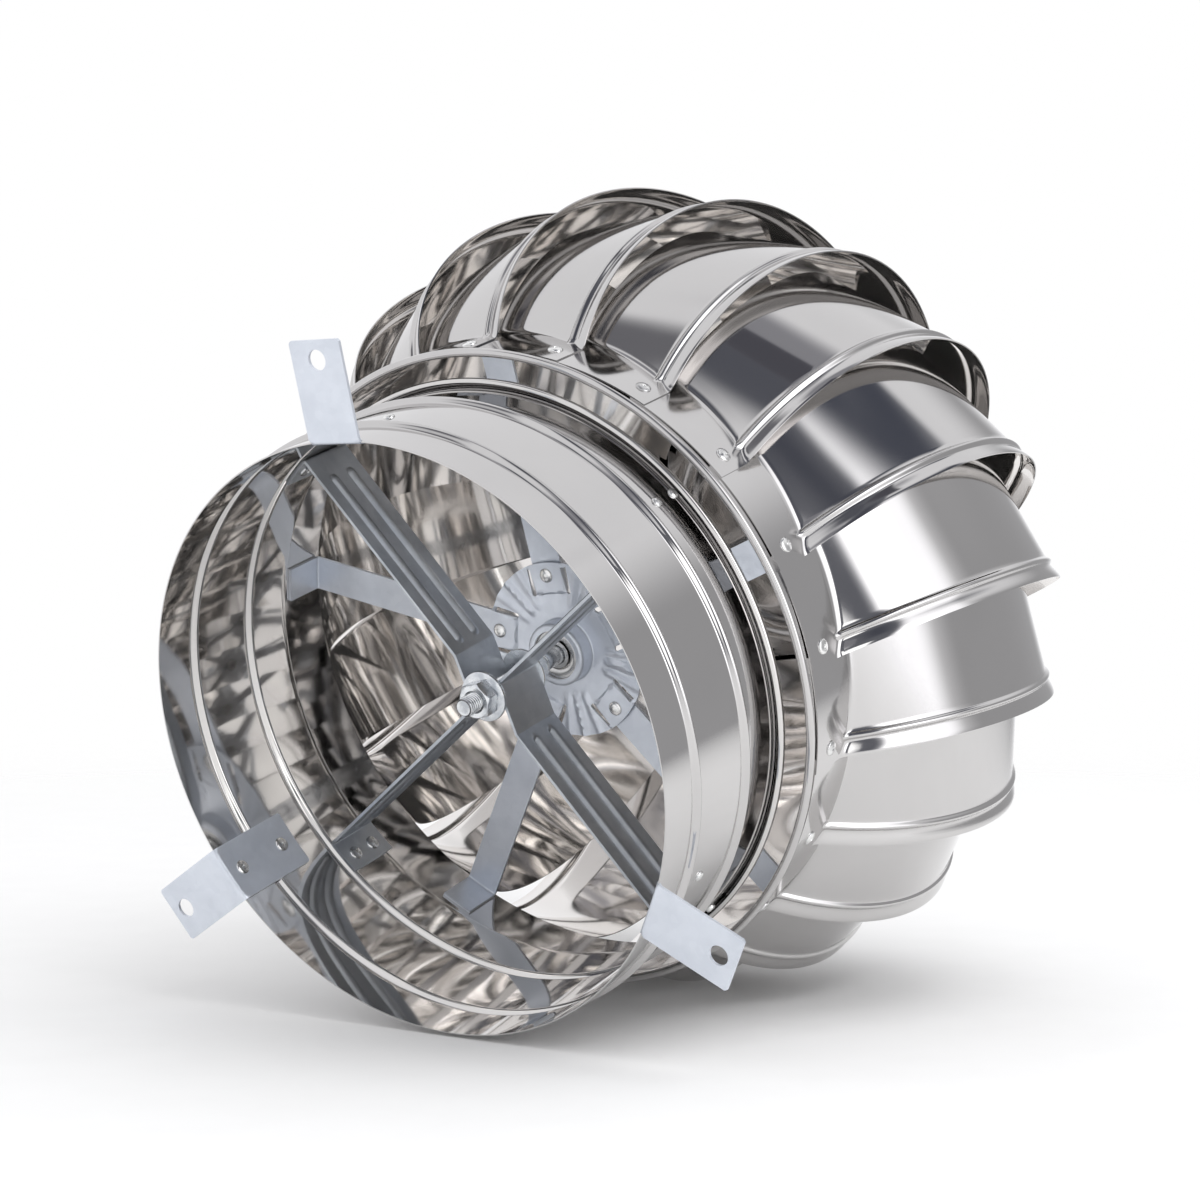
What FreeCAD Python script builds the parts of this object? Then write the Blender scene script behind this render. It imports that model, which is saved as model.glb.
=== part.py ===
"""Roof turbine ventilator for a 300 mm duct: a fixed neck with a spider and shaft, and a ball of twenty
vanes that spins on two bearings. Millimetres, +Z up along the spin axis, z = 0 on the roof side of the
bracket tabs, origin on the axis."""
import FreeCAD
import Part
import math
import os

V = FreeCAD.Vector

# Neck collar
neck_radius = 150.0
neck_sheet = 0.6
neck_height = 100.5
neck_bead_heights = (26.0, 69.0)
neck_bead_half_width = 3.5
neck_bead_depth = 2.5
neck_roll = 4.0

# Roof brackets, one every 120 degrees
bracket_count = 3
bracket_first_angle = -37.2
bracket_width = 30.0
bracket_sheet = 1.5
bracket_leg_height = 52.0
bracket_tab_reach = 48.0
bracket_hole_radius = 5.0
bracket_hole_inset = 9.5
bracket_rivet_heights = (11.0, 42.0)

# Spider: two strips on edge, each bent into two arms
spider_angle = 17.7
spider_sheet = 1.5
spider_depth = 32.0
spider_bottom = 72.0
spider_long_fold = 25.0
spider_short_fold = 10.5
spider_tab_length = 19.0
spider_tab_rivet_inset = 11.0
spider_rivet_spacing = 14.0
spider_rib_half_width = 2.0
spider_rib_height = 1.2
spider_rib_spacing = 13.0
spider_rib_start = 32.0
spider_rib_end = 136.0

# Shaft and its nuts
shaft_radius = 5.0
shaft_bottom = 53.5
nut_across_flats = 17.0
nut_height = 8.0
washer_radius = 13.0
washer_thickness = 2.0

# Bearings, both the same deep groove size with shields
bearing_outer_radius = 15.0
bearing_width = 9.0
bearing_inner_ring_radius = 7.4
bearing_shield_clearance = 0.15
bearing_lip = 2.0
lower_bearing_bottom = 133.5

# Lower hub plate
hub_plate_radius = 47.0
hub_sheet = 1.2
hub_plate_bottom = 142.0
hub_cup_flare_radius = 20.5
hub_slot_width = 2.0
hub_slot_start = 29.0
hub_rivet_radius = 40.0

# Rotor arms, one every 72 degrees, each on a vane rivet
arm_count = 5
arm_width = 18.0
arm_sheet = 1.5
arm_inner_radius = 31.0
arm_tab_drop = 24.0

# Base ring of the rotor
ring_radius = 164.0
ring_sheet = 0.6
ring_bottom = 101.8
ring_top = 145.5
ring_roll = 4.0

# Vanes
vane_count = 20
vane_first_rivet_angle = -22.7
vane_sheet = 0.6
vane_tucked_angle = -17.5
vane_free_angle = 3.4
vane_flange_bottom = 112.0
vane_rivet_height = 125.0
vane_fold_height = 136.0
vane_bend_radius = 120.0
vane_bend_center = 97.0
vane_start_inset = 10.0
vane_flats = 10
vane_sweep_angle = 70.0
vane_top_flange_inner = 84.0
lap_gap = 0.02

# Top plate and upper bearing
top_plate_radius = 107.0
top_plate_sheet = 1.0
top_cup_clearance = 1.5

# Fasteners
rivet_radius = 2.0
rivet_head_radius = 3.8
rivet_head_height = 1.2
rivet_tail_radius = 2.8
rivet_tail_height = 1.0
rivet_sides = 6
wall_seat_gap = 0.06
shaft_stand_out = 3.0

# Values that follow from the sizes above
neck_bottom = bracket_sheet
neck_inner = neck_radius - neck_sheet
neck_top = neck_bottom + neck_height
vane_pitch = 360.0 / vane_count
vane_span = vane_free_angle - vane_tucked_angle
vane_fold_reach = ring_radius - vane_bend_center
vane_belly_height = vane_fold_height + math.sqrt(vane_bend_radius ** 2 - vane_fold_reach ** 2)
vane_top_height = vane_belly_height + vane_bend_radius
vane_start_radius = ring_radius - vane_start_inset
vane_sweep_length = 1.3 * (vane_bend_center + vane_bend_radius) * math.radians(vane_span)
vane_sweep_lead = 70.0
vane_top_lead = 49.0
vane_edge_set_back = 0.404
vane_edge_lean = 0.165
vane_lap_rise = math.sin(math.radians(vane_span)) - math.sin(math.radians(vane_span - vane_pitch))
vane_top_slope = (vane_sheet + lap_gap) / (vane_top_flange_inner * vane_lap_rise)
spider_top = spider_bottom + spider_depth
arm_bottom = hub_plate_bottom + hub_sheet
arm_top = arm_bottom + arm_sheet
top_plate_bottom = vane_top_height + vane_sheet / 2 + lap_gap
upper_bearing_bottom = top_plate_bottom
upper_bearing_top = upper_bearing_bottom + bearing_width
shaft_top = upper_bearing_top + nut_height + shaft_stand_out


def polar(radius, angle, height):
    """Point at a radius and an angle in degrees round the axis."""
    turn = math.radians(angle)
    return V(radius * math.cos(turn), radius * math.sin(turn), height)


def turned(shape, angle):
    """Copy of a shape turned round the axis."""
    copy = shape.copy()
    copy.rotate(V(0, 0, 0), V(0, 0, 1), angle)
    return copy


def tube(outer, inner, bottom, height):
    """Plain tube on the axis."""
    return Part.makeCylinder(outer, height, V(0, 0, bottom)).cut(
        Part.makeCylinder(inner, height, V(0, 0, bottom)))


def revolved(points):
    """Solid turned from a closed outline of (radius, height) points."""
    outline = Part.makePolygon([V(r, 0, z) for r, z in points + points[:1]])
    return Part.Face(outline).revolve(V(0, 0, 0), V(0, 0, 1), 360)


def exported(node, shape):
    """Write one node, after a look at its solids."""
    solids = shape.Solids
    if not solids or not all(s.isValid() and s.Volume > 0 for s in solids):
        raise ValueError(node + " is not made of sound solids")
    whole = solids[0] if len(solids) == 1 else Part.makeCompound(solids)
    whole.exportStep("parts/" + node + ".step")


def hexagon(across_flats, height, bottom, bore):
    """Hexagon nut with a plain bore."""
    points = [polar(across_flats / math.sqrt(3), 60 * i, bottom) for i in range(6)]
    nut = Part.Face(Part.makePolygon(points + points[:1])).extrude(V(0, 0, height))
    return nut.cut(Part.makeCylinder(bore, height, V(0, 0, bottom)))


def rivet_piece(radius, seat, outward, length):
    """Straight piece of a rivet along its axis, with few sides because rivets repeat most."""
    turn = FreeCAD.Rotation(V(0, 0, 1), outward)
    points = [turn.multVec(polar(radius, 360.0 / rivet_sides * i, 0)) + seat for i in range(rivet_sides)]
    return Part.Face(Part.makePolygon(points + points[:1])).extrude(outward * length)


def rivet_head(seat, outward):
    """Low rivet head that lies on its seat."""
    return rivet_piece(rivet_head_radius, seat, outward, rivet_head_height)


def rivet(seat, outward, grip):
    """Rivet with a head on its seat and a shank and tail through the grip under it."""
    shank = rivet_piece(rivet_radius, seat, outward, -grip)
    tail = rivet_piece(rivet_tail_radius, seat - outward * grip, outward, -rivet_tail_height)
    return rivet_head(seat, outward).fuse([shank, tail])


def rivet_hole(seat, outward, grip):
    """Cutter for a rivet's shank, long enough for the sheets round it."""
    return rivet_piece(rivet_radius, seat + outward * grip, outward, -3 * grip)


def strip_outline(points, width):
    """Flat outline of a strip of one width along a bent line in the XY plane, with mitred bends."""
    def side(sign):
        out = []
        for i, point in enumerate(points):
            runs = [(points[j + 1] - points[j]).normalize()
                    for j in (i - 1, i) if 0 <= j < len(points) - 1]
            normals = [V(-run.y, run.x, 0) for run in runs]
            mitre = normals[0] + normals[-1]
            mitre.normalize()
            out.append(point + mitre * (sign * width / 2 / mitre.dot(normals[0])))
        return out

    outline = side(1) + side(-1)[::-1]
    return Part.Face(Part.makePolygon(outline + outline[:1]))


def wall_sector(outer, inner, bottom, height, start, sweep):
    """Piece of a round wall between two angles."""
    outline = Part.makePolygon([V(inner, 0, bottom), V(outer, 0, bottom), V(outer, 0, bottom + height),
                                V(inner, 0, bottom + height), V(inner, 0, bottom)])
    return turned(Part.Face(outline).revolve(V(0, 0, 0), V(0, 0, 1), sweep), start)


def neck_collar():
    """Thin cylinder with two pressed beads and a rolled top edge."""
    def skin(radius):
        path = [(radius, neck_bottom)]
        for height in neck_bead_heights:
            middle = neck_bottom + height
            path += [(radius, middle - neck_bead_half_width), (radius + neck_bead_depth, middle),
                     (radius, middle + neck_bead_half_width)]
        return path

    roll = [(neck_radius, neck_top - neck_roll), (neck_radius + neck_roll, neck_top - neck_roll / 2),
            (neck_inner, neck_top)]
    collar = revolved(skin(neck_radius) + roll + skin(neck_inner)[::-1])
    for seat, outward in bracket_rivet_places():
        collar = collar.cut(rivet_hole(seat, outward, wall_grip(bracket_sheet)))
    for seat, outward in spider_rivet_places():
        collar = collar.cut(rivet_hole(seat, outward, wall_grip(spider_sheet)))
    return collar


def wall_grip(sheet):
    """Length of a rivet shank through a sheet on the neck wall, with its seat on the round wall."""
    return sheet + neck_sheet + wall_seat_gap


def bracket_angles():
    """Angles of the roof brackets."""
    return [bracket_first_angle + 360.0 / bracket_count * i for i in range(bracket_count)]


def bracket_rivet_places():
    """Seat and direction of each bracket rivet, on the leg's inner face."""
    radius = neck_inner - bracket_sheet - wall_seat_gap
    return [(polar(radius, angle, height), polar(-1, angle, 0))
            for angle in bracket_angles() for height in bracket_rivet_heights]


def roof_bracket(angle):
    """L-shaped bracket: a leg rolled to the neck's inner wall and a flat tab with one bolt hole."""
    half = bracket_width / 2
    outer_end = neck_radius + bracket_tab_reach
    slab = Part.makeBox(outer_end, bracket_width, bracket_leg_height, V(0, -half, 0))
    leg = tube(neck_inner, neck_inner - bracket_sheet, 0, bracket_leg_height).common(slab)
    tab = Part.makeBox(outer_end, bracket_width, bracket_sheet, V(0, -half, 0)).cut(
        Part.makeCylinder(neck_inner - bracket_sheet, bracket_sheet))
    hole = Part.makeCylinder(bracket_hole_radius, bracket_sheet, V(outer_end - bracket_hole_inset, 0, 0))
    bracket = turned(leg.fuse(tab).removeSplitter().cut(hole), angle)
    for seat, outward in bracket_rivet_places():
        bracket = bracket.cut(rivet_hole(seat, outward, wall_grip(bracket_sheet)))
    return bracket


def spider_arm_angles():
    """Angles of the four spider arms."""
    return [spider_angle + 90 * i for i in range(4)]


def spider_rivet_places():
    """Seat and direction of each spider rivet, on the end tab's inner face."""
    radius = neck_inner - spider_sheet - wall_seat_gap
    back = math.degrees(spider_tab_rivet_inset / neck_inner)
    middle = spider_bottom + spider_depth / 2
    heights = (middle - spider_rivet_spacing / 2, middle + spider_rivet_spacing / 2)
    return [(polar(radius, angle - back, height), polar(-1, angle - back, 0))
            for angle in spider_arm_angles() for height in heights]


def spider_rib(arm, height, face):
    """Three-sided rib along an arm, whose foot lies on a plane beside the strip's middle."""
    foot = polar(spider_rib_start, arm, height) + polar(face, arm + 90, 0)
    half = V(0, 0, spider_rib_half_width)
    corners = [foot + half, foot + polar(spider_rib_height, arm + 90, 0), foot - half]
    return Part.Face(Part.makePolygon(corners + corners[:1])).extrude(
        polar(spider_rib_end - spider_rib_start, arm, 0))


def spider_strip(angle):
    """Strip on edge with two arms: one at the angle, one a quarter turn on, and a short run past the
    shaft between them. Each end is bent back along the wall, and each arm has two pressed ribs."""
    reach = neck_inner - spider_sheet / 2
    line_points = [polar(reach, angle, 0), polar(spider_short_fold, angle, 0),
                   polar(spider_long_fold, angle + 90, 0), polar(reach, angle + 90, 0)]
    strip = strip_outline(line_points, spider_sheet).extrude(V(0, 0, spider_depth))
    strip.translate(V(0, 0, spider_bottom))
    sweep = math.degrees(spider_tab_length / neck_inner)
    half_sheet = math.degrees(spider_sheet / 2 / neck_inner)
    tabs = [wall_sector(neck_inner, neck_inner - spider_sheet, spider_bottom, spider_depth,
                        arm - sweep, sweep + half_sheet) for arm in (angle, angle + 90)]
    strip = strip.fuse(tabs)
    middle = spider_bottom + spider_depth / 2
    for arm in (angle, angle + 90):
        for height in (middle - spider_rib_spacing / 2, middle + spider_rib_spacing / 2):
            strip = strip.fuse(spider_rib(arm, height, spider_sheet / 2)).cut(
                spider_rib(arm, height, -spider_sheet / 2))
    for seat, outward in spider_rivet_places():
        strip = strip.cut(rivet_hole(seat, outward, wall_grip(spider_sheet)))
    return strip


def bearing_bottoms():
    """Lower faces of the two bearings."""
    return lower_bearing_bottom, upper_bearing_bottom


def bearing_inner_rings():
    """Inner ring of each bearing, a push fit on the shaft."""
    return Part.makeCompound([tube(bearing_inner_ring_radius, shaft_radius, bottom, bearing_width)
                              for bottom in bearing_bottoms()])


def bearing_outer_rings():
    """Outer ring of each bearing with its shields, which stop just short of the inner ring."""
    bore = bearing_inner_ring_radius + bearing_shield_clearance
    return Part.makeCompound([tube(bearing_outer_radius, bore, bottom, bearing_width)
                              for bottom in bearing_bottoms()])


def arm_angles():
    """Angles of the rotor arms, each on a vane rivet."""
    first = vane_first_rivet_angle - vane_pitch
    return [first + 360.0 / arm_count * i for i in range(arm_count)]


def lower_hub_plate():
    """Pressed disc with a cup for the bearing and a tongue between two slots for each arm."""
    low, high = hub_plate_bottom, hub_plate_bottom + hub_sheet
    wall = bearing_outer_radius + hub_sheet
    floor = lower_bearing_bottom - hub_sheet
    lip = bearing_outer_radius - bearing_lip
    waist = lower_bearing_bottom + bearing_width / 2
    plate = revolved([(lip, floor), (wall, floor), (wall, waist), (hub_cup_flare_radius, low),
                      (hub_plate_radius, low), (hub_plate_radius, high), (bearing_outer_radius, high),
                      (bearing_outer_radius, lower_bearing_bottom), (lip, lower_bearing_bottom)])
    slot_length = hub_plate_radius - hub_slot_start + hub_sheet
    for angle in arm_angles():
        for side in (-1, 1):
            middle = side * (arm_width / 2 + hub_slot_width)
            slot = Part.makeBox(slot_length, hub_slot_width, 2 * hub_sheet,
                                V(hub_slot_start, middle - hub_slot_width / 2, low - hub_sheet / 2))
            plate = plate.cut(turned(slot, angle))
        plate = plate.cut(rivet_hole(*hub_rivet_place(angle), hub_sheet + arm_sheet))
    return plate


def hub_rivet_place(angle):
    """Seat and direction of the rivet that joins an arm to the hub plate."""
    return polar(hub_rivet_radius, angle, hub_plate_bottom), V(0, 0, -1)


def rotor_arm(angle):
    """Flat strip from the hub plate to the base ring, its outer end folded down along the ring."""
    inner_wall = ring_radius - ring_sheet
    flat = Part.makeBox(inner_wall, arm_width, arm_sheet, V(arm_inner_radius, -arm_width / 2, arm_bottom))
    flat = flat.common(Part.makeCylinder(inner_wall, arm_sheet, V(0, 0, arm_bottom)))
    bottom = arm_top - arm_tab_drop
    slab = Part.makeBox(inner_wall, arm_width, arm_tab_drop, V(0, -arm_width / 2, bottom))
    tab = tube(inner_wall, inner_wall - arm_sheet, bottom, arm_tab_drop).common(slab)
    arm = turned(flat.fuse(tab).removeSplitter(), angle)
    return arm.cut(rivet_hole(*hub_rivet_place(angle), hub_sheet + arm_sheet))


def base_ring():
    """Band that carries the vanes, with its lower edge rolled outwards."""
    inner = ring_radius - ring_sheet
    return revolved([(inner, ring_bottom), (ring_radius + ring_roll, ring_bottom + ring_roll / 2),
                     (ring_radius, ring_bottom + ring_roll), (ring_radius, ring_top), (inner, ring_top)])


def vane_lap_shift():
    """Sideways shift of a vane's base flange that winds it outwards by one sheet from vane to vane."""
    step = math.radians(vane_pitch)
    middle = (vane_tucked_angle + vane_free_angle) / 2
    return polar((vane_sheet + lap_gap) / step, middle + 90, 0)


def vane_flange_inner():
    """Inner radius of a vane's base flange about its own shifted axis."""
    return ring_radius + lap_gap + vane_lap_shift().Length * math.sin(math.radians(vane_span / 2))


def vane_profile(radius):
    """Half profile of the blade at a bend radius, in short flats from base to top and on to the shaft side,
    as (distance from the axis, height) points."""
    first = -math.degrees(math.acos((vane_start_radius - vane_bend_center) / vane_bend_radius))
    steps = [first + (90 - first) * i / vane_flats for i in range(vane_flats + 1)]
    points = [(vane_bend_center + radius * math.cos(math.radians(step)),
               vane_belly_height + radius * math.sin(math.radians(step))) for step in steps]
    return points + [(vane_top_flange_inner, vane_belly_height + radius)]


def free_edge_point(radius, height):
    """Point on the slanted plane of a vane's free edge, which leans round with height."""
    slant = vane_edge_set_back * (ring_radius - radius) + vane_edge_lean * (height - vane_fold_height)
    return polar(radius, vane_free_angle, height) + polar(slant, vane_free_angle + 90, 0)


def behind_free_edge():
    """Block on the blade's side of the slanted plane of its free edge."""
    corners = [free_edge_point(radius, height) for radius, height in (
        (0, 0), (2 * ring_radius, 0), (2 * ring_radius, 2 * vane_top_height), (0, 2 * vane_top_height))]
    return Part.Face(Part.makePolygon(corners + corners[:1])).extrude(
        polar(-2 * vane_sweep_length, vane_free_angle + 90, 0))


def swept_across(outline):
    """Solid swept across a vane, from an outline of (distance, height) points at its base corner."""
    across = V(math.cos(math.radians(vane_sweep_angle)), math.sin(math.radians(vane_sweep_angle)),
               vane_top_slope) * -1
    face = Part.Face(Part.makePolygon([polar(r, vane_free_angle, z) for r, z in outline + outline[:1]]))
    face.translate(across * -vane_sweep_lead - V(0, 0, vane_top_slope * vane_top_lead))
    return face.extrude(across * (vane_sweep_lead + vane_sweep_length))


def vane():
    """One vane with its rivet at angle 0: a blade bent in one direction and cut off along a slant at its
    free edge, its base flange on the ring and its flat top flange."""
    outer = vane_profile(vane_bend_radius + vane_sheet / 2)
    inner = vane_profile(vane_bend_radius - vane_sheet / 2)
    blade = swept_across(outer + inner[::-1])
    middle = vane_profile(vane_bend_radius)
    room = swept_across(middle + [(0, middle[-1][1]), (0, middle[0][1])])
    shift = vane_lap_shift()
    flange_inner = vane_flange_inner()
    band = tube(flange_inner + vane_sheet, flange_inner, vane_flange_bottom,
                vane_belly_height - vane_flange_bottom)
    band.translate(shift)
    core = Part.makeCylinder(flange_inner, vane_belly_height)
    core.translate(shift)
    wedge = wall_sector(2 * ring_radius, shaft_radius, 0, 2 * vane_top_height, vane_tucked_angle, vane_span)
    wide_wedge = wall_sector(2 * ring_radius, shaft_radius, 0, 2 * vane_top_height, vane_tucked_angle,
                             2 * vane_span)
    blade = blade.common(behind_free_edge()).common(wide_wedge)
    return blade.cut(core).fuse(band.cut(room).common(wedge)).removeSplitter()


def vane_base_rivets():
    """Rivet heads at the overlaps on the base ring."""
    seat = vane_flange_inner() + vane_sheet + vane_lap_shift().x
    head = rivet_head(V(seat, 0, vane_rivet_height), V(1, 0, 0))
    return Part.makeCompound([turned(head, vane_angle(i)) for i in range(vane_count)])


def vane_angle(index):
    """Angle of a vane's rivet."""
    return vane_first_rivet_angle + vane_pitch * index


def top_plate():
    """Disc over the top flanges with a closed cup pressed up in its middle. The bearing sits in the cup
    under a step, with room above it for the shaft's end and lock nut."""
    low, high = top_plate_bottom, top_plate_bottom + top_plate_sheet
    step_radius = bearing_outer_radius - bearing_lip
    roof = shaft_top + top_cup_clearance
    wall = bearing_outer_radius + top_plate_sheet
    return revolved([(0, roof), (step_radius, roof), (step_radius, upper_bearing_top),
                     (bearing_outer_radius, upper_bearing_top), (bearing_outer_radius, low),
                     (top_plate_radius, low), (top_plate_radius, high), (wall, high),
                     (wall, upper_bearing_top + top_plate_sheet), (step_radius, roof + top_plate_sheet),
                     (0, roof + top_plate_sheet)])


def shaft():
    """Round stud through the spider and both bearings."""
    return Part.makeCylinder(shaft_radius, shaft_top - shaft_bottom, V(0, 0, shaft_bottom))


def nuts_and_washers():
    """Nuts and washers that clamp the spider, the nut that carries the upper bearing and its lock nut."""
    nuts = (spider_bottom - washer_thickness - nut_height, spider_top + washer_thickness,
            upper_bearing_bottom - nut_height, upper_bearing_top)
    washers = (spider_bottom - washer_thickness, spider_top)
    return Part.makeCompound(
        [hexagon(nut_across_flats, nut_height, bottom, shaft_radius) for bottom in nuts]
        + [tube(washer_radius, shaft_radius, bottom, washer_thickness) for bottom in washers])


def build():
    """Make every node and write it."""
    os.makedirs("parts", exist_ok=True)
    exported("neck_collar", neck_collar())
    exported("roof_brackets", Part.makeCompound([roof_bracket(angle) for angle in bracket_angles()]))
    exported("bracket_rivets", Part.makeCompound(
        [rivet(seat, outward, wall_grip(bracket_sheet)) for seat, outward in bracket_rivet_places()]))
    exported("spider_strip_1", spider_strip(spider_angle))
    exported("spider_strip_2", spider_strip(spider_angle + 180))
    exported("spider_rivets", Part.makeCompound(
        [rivet(seat, outward, wall_grip(spider_sheet)) for seat, outward in spider_rivet_places()]))
    exported("shaft", shaft())
    exported("nuts_and_washers", nuts_and_washers())
    exported("bearing_inner_rings", bearing_inner_rings())
    exported("bearing_outer_rings", bearing_outer_rings())
    exported("lower_hub_plate", lower_hub_plate())
    for i, angle in enumerate(arm_angles(), 1):
        exported("rotor_arm_%d" % i, rotor_arm(angle))
    exported("arm_rivets", Part.makeCompound(
        [rivet(*hub_rivet_place(angle), hub_sheet + arm_sheet) for angle in arm_angles()]))
    exported("base_ring", base_ring())
    first_vane = vane()
    for i in range(vane_count):
        exported("vane_%02d" % (i + 1), turned(first_vane, vane_angle(i)))
    exported("vane_base_rivets", vane_base_rivets())
    exported("top_plate", top_plate())


build()
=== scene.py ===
"""Looks of a roof turbine ventilator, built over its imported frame.

Every size is in millimetres in the frame of the CAD model: its +Z runs from the neck to the top plate.
"""

import logging
import math
from collections.abc import Callable, Sequence
from dataclasses import dataclass
from enum import Enum

import bmesh
import bpy
import numpy as np
from mathutils import Matrix, Vector
from mathutils.geometry import delaunay_2d_cdt


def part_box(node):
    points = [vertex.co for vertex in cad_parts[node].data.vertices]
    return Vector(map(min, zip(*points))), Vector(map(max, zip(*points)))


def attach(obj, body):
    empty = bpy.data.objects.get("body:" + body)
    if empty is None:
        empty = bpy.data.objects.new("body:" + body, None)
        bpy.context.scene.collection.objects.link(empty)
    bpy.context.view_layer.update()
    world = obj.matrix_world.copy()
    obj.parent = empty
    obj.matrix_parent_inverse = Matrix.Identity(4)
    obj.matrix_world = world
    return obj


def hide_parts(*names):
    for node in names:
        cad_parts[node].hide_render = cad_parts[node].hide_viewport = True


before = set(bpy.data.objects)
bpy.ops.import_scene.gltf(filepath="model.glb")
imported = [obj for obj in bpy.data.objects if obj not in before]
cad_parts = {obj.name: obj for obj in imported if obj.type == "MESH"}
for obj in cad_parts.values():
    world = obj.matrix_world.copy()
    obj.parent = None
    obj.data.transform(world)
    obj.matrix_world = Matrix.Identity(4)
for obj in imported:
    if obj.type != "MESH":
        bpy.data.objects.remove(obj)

METRES = 0.001
MERGE_DISTANCE = 1e-6
FAR_AWAY = 400.0
UP = np.array([0.0, 0.0, 1.0])
LOG = logging.getLogger("ventilator")
Colour = tuple[float, float, float]
Outline = list[tuple[float, float]]
Material = bpy.types.Material


class Body(Enum):
    """The two bodies of the ventilator."""

    BASE = "base"
    ROTOR = "rotor"


def polar(radius: float | np.ndarray, angle: float | np.ndarray, height: float | np.ndarray) -> np.ndarray:
    """Points on circles about the axis.

    Args:
        radius: Distance from the axis.
        angle: Angle about the axis in degrees.
        height: Height along the axis.

    Returns:
        Array whose last dimension holds x, y and z.
    """
    turn = np.radians(angle)
    return np.stack(np.broadcast_arrays(radius * np.cos(turn), radius * np.sin(turn), height), axis=-1)


def turned(points: np.ndarray, angle: float) -> np.ndarray:
    """Points turned about the axis by an angle in degrees."""
    cos, sin = math.cos(math.radians(angle)), math.sin(math.radians(angle))
    return points @ np.array([[cos, sin, 0], [-sin, cos, 0], [0, 0, 1]])


def smooth_step(low: float, high: float, value: np.ndarray) -> np.ndarray:
    """Smooth ramp from 0 at low to 1 at high."""
    t = np.clip((value - low) / (high - low), 0, 1)
    return t * t * (3 - 2 * t)


def swell(away: float | np.ndarray) -> float | np.ndarray:
    """Rounded profile of a bead, from 1 in its middle to 0 at a distance of 1."""
    return 0.5 + 0.5 * np.cos(math.pi * np.minimum(away, 1))


def run_lengths(line: np.ndarray) -> np.ndarray:
    """Length along a line up to each of its points."""
    return np.concatenate([[0], np.cumsum(np.linalg.norm(np.diff(line, axis=0), axis=1))])


def unit(vectors: np.ndarray) -> np.ndarray:
    """Vectors scaled to length one."""
    return vectors / np.maximum(np.linalg.norm(vectors, axis=-1, keepdims=True), 1e-12)


def rounded(points: Outline, radius: float, steps: int = 6) -> Outline:
    """Open line with its inner corners rounded.

    Args:
        points: Corners of the line.
        radius: Radius of each bend, less where a run is too short for it.
        steps: Pieces of each bend.

    Returns:
        Points of the rounded line.
    """
    corners = [np.array(p, float) for p in points]
    line = [corners[0]]
    for before, corner, after in zip(corners, corners[1:], corners[2:]):
        runs = [before - corner, after - corner]
        lengths = [float(np.linalg.norm(run)) for run in runs]
        ways = [run / length for run, length in zip(runs, lengths)]
        half = math.acos(max(-1.0, min(1.0, float(ways[0] @ ways[1])))) / 2
        if half > math.radians(89.5):
            line.append(corner)
            continue
        back = min(radius / math.tan(half), 0.49 * min(lengths))
        start, end = corner + ways[0] * back, corner + ways[1] * back
        for i in range(steps + 1):
            t = i / steps
            line.append(start * (1 - t) ** 2 + corner * 2 * t * (1 - t) + end * t ** 2)
    line.append(corners[-1])
    return [(float(p[0]), float(p[1])) for p in line]


def thickened(line: Outline, thickness: float) -> Outline:
    """Closed outline of a sheet round its middle line.

    Args:
        line: Middle line of the sheet.
        thickness: Thickness of the sheet.

    Returns:
        Closed outline, without its first point repeated.
    """
    middle = np.array(line, float)
    along = unit(np.gradient(middle, axis=0))
    side = np.stack([-along[:, 1], along[:, 0]], axis=1) * thickness / 2
    return [tuple(p) for p in (middle + side)] + [tuple(p) for p in (middle - side)[::-1]]


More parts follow.
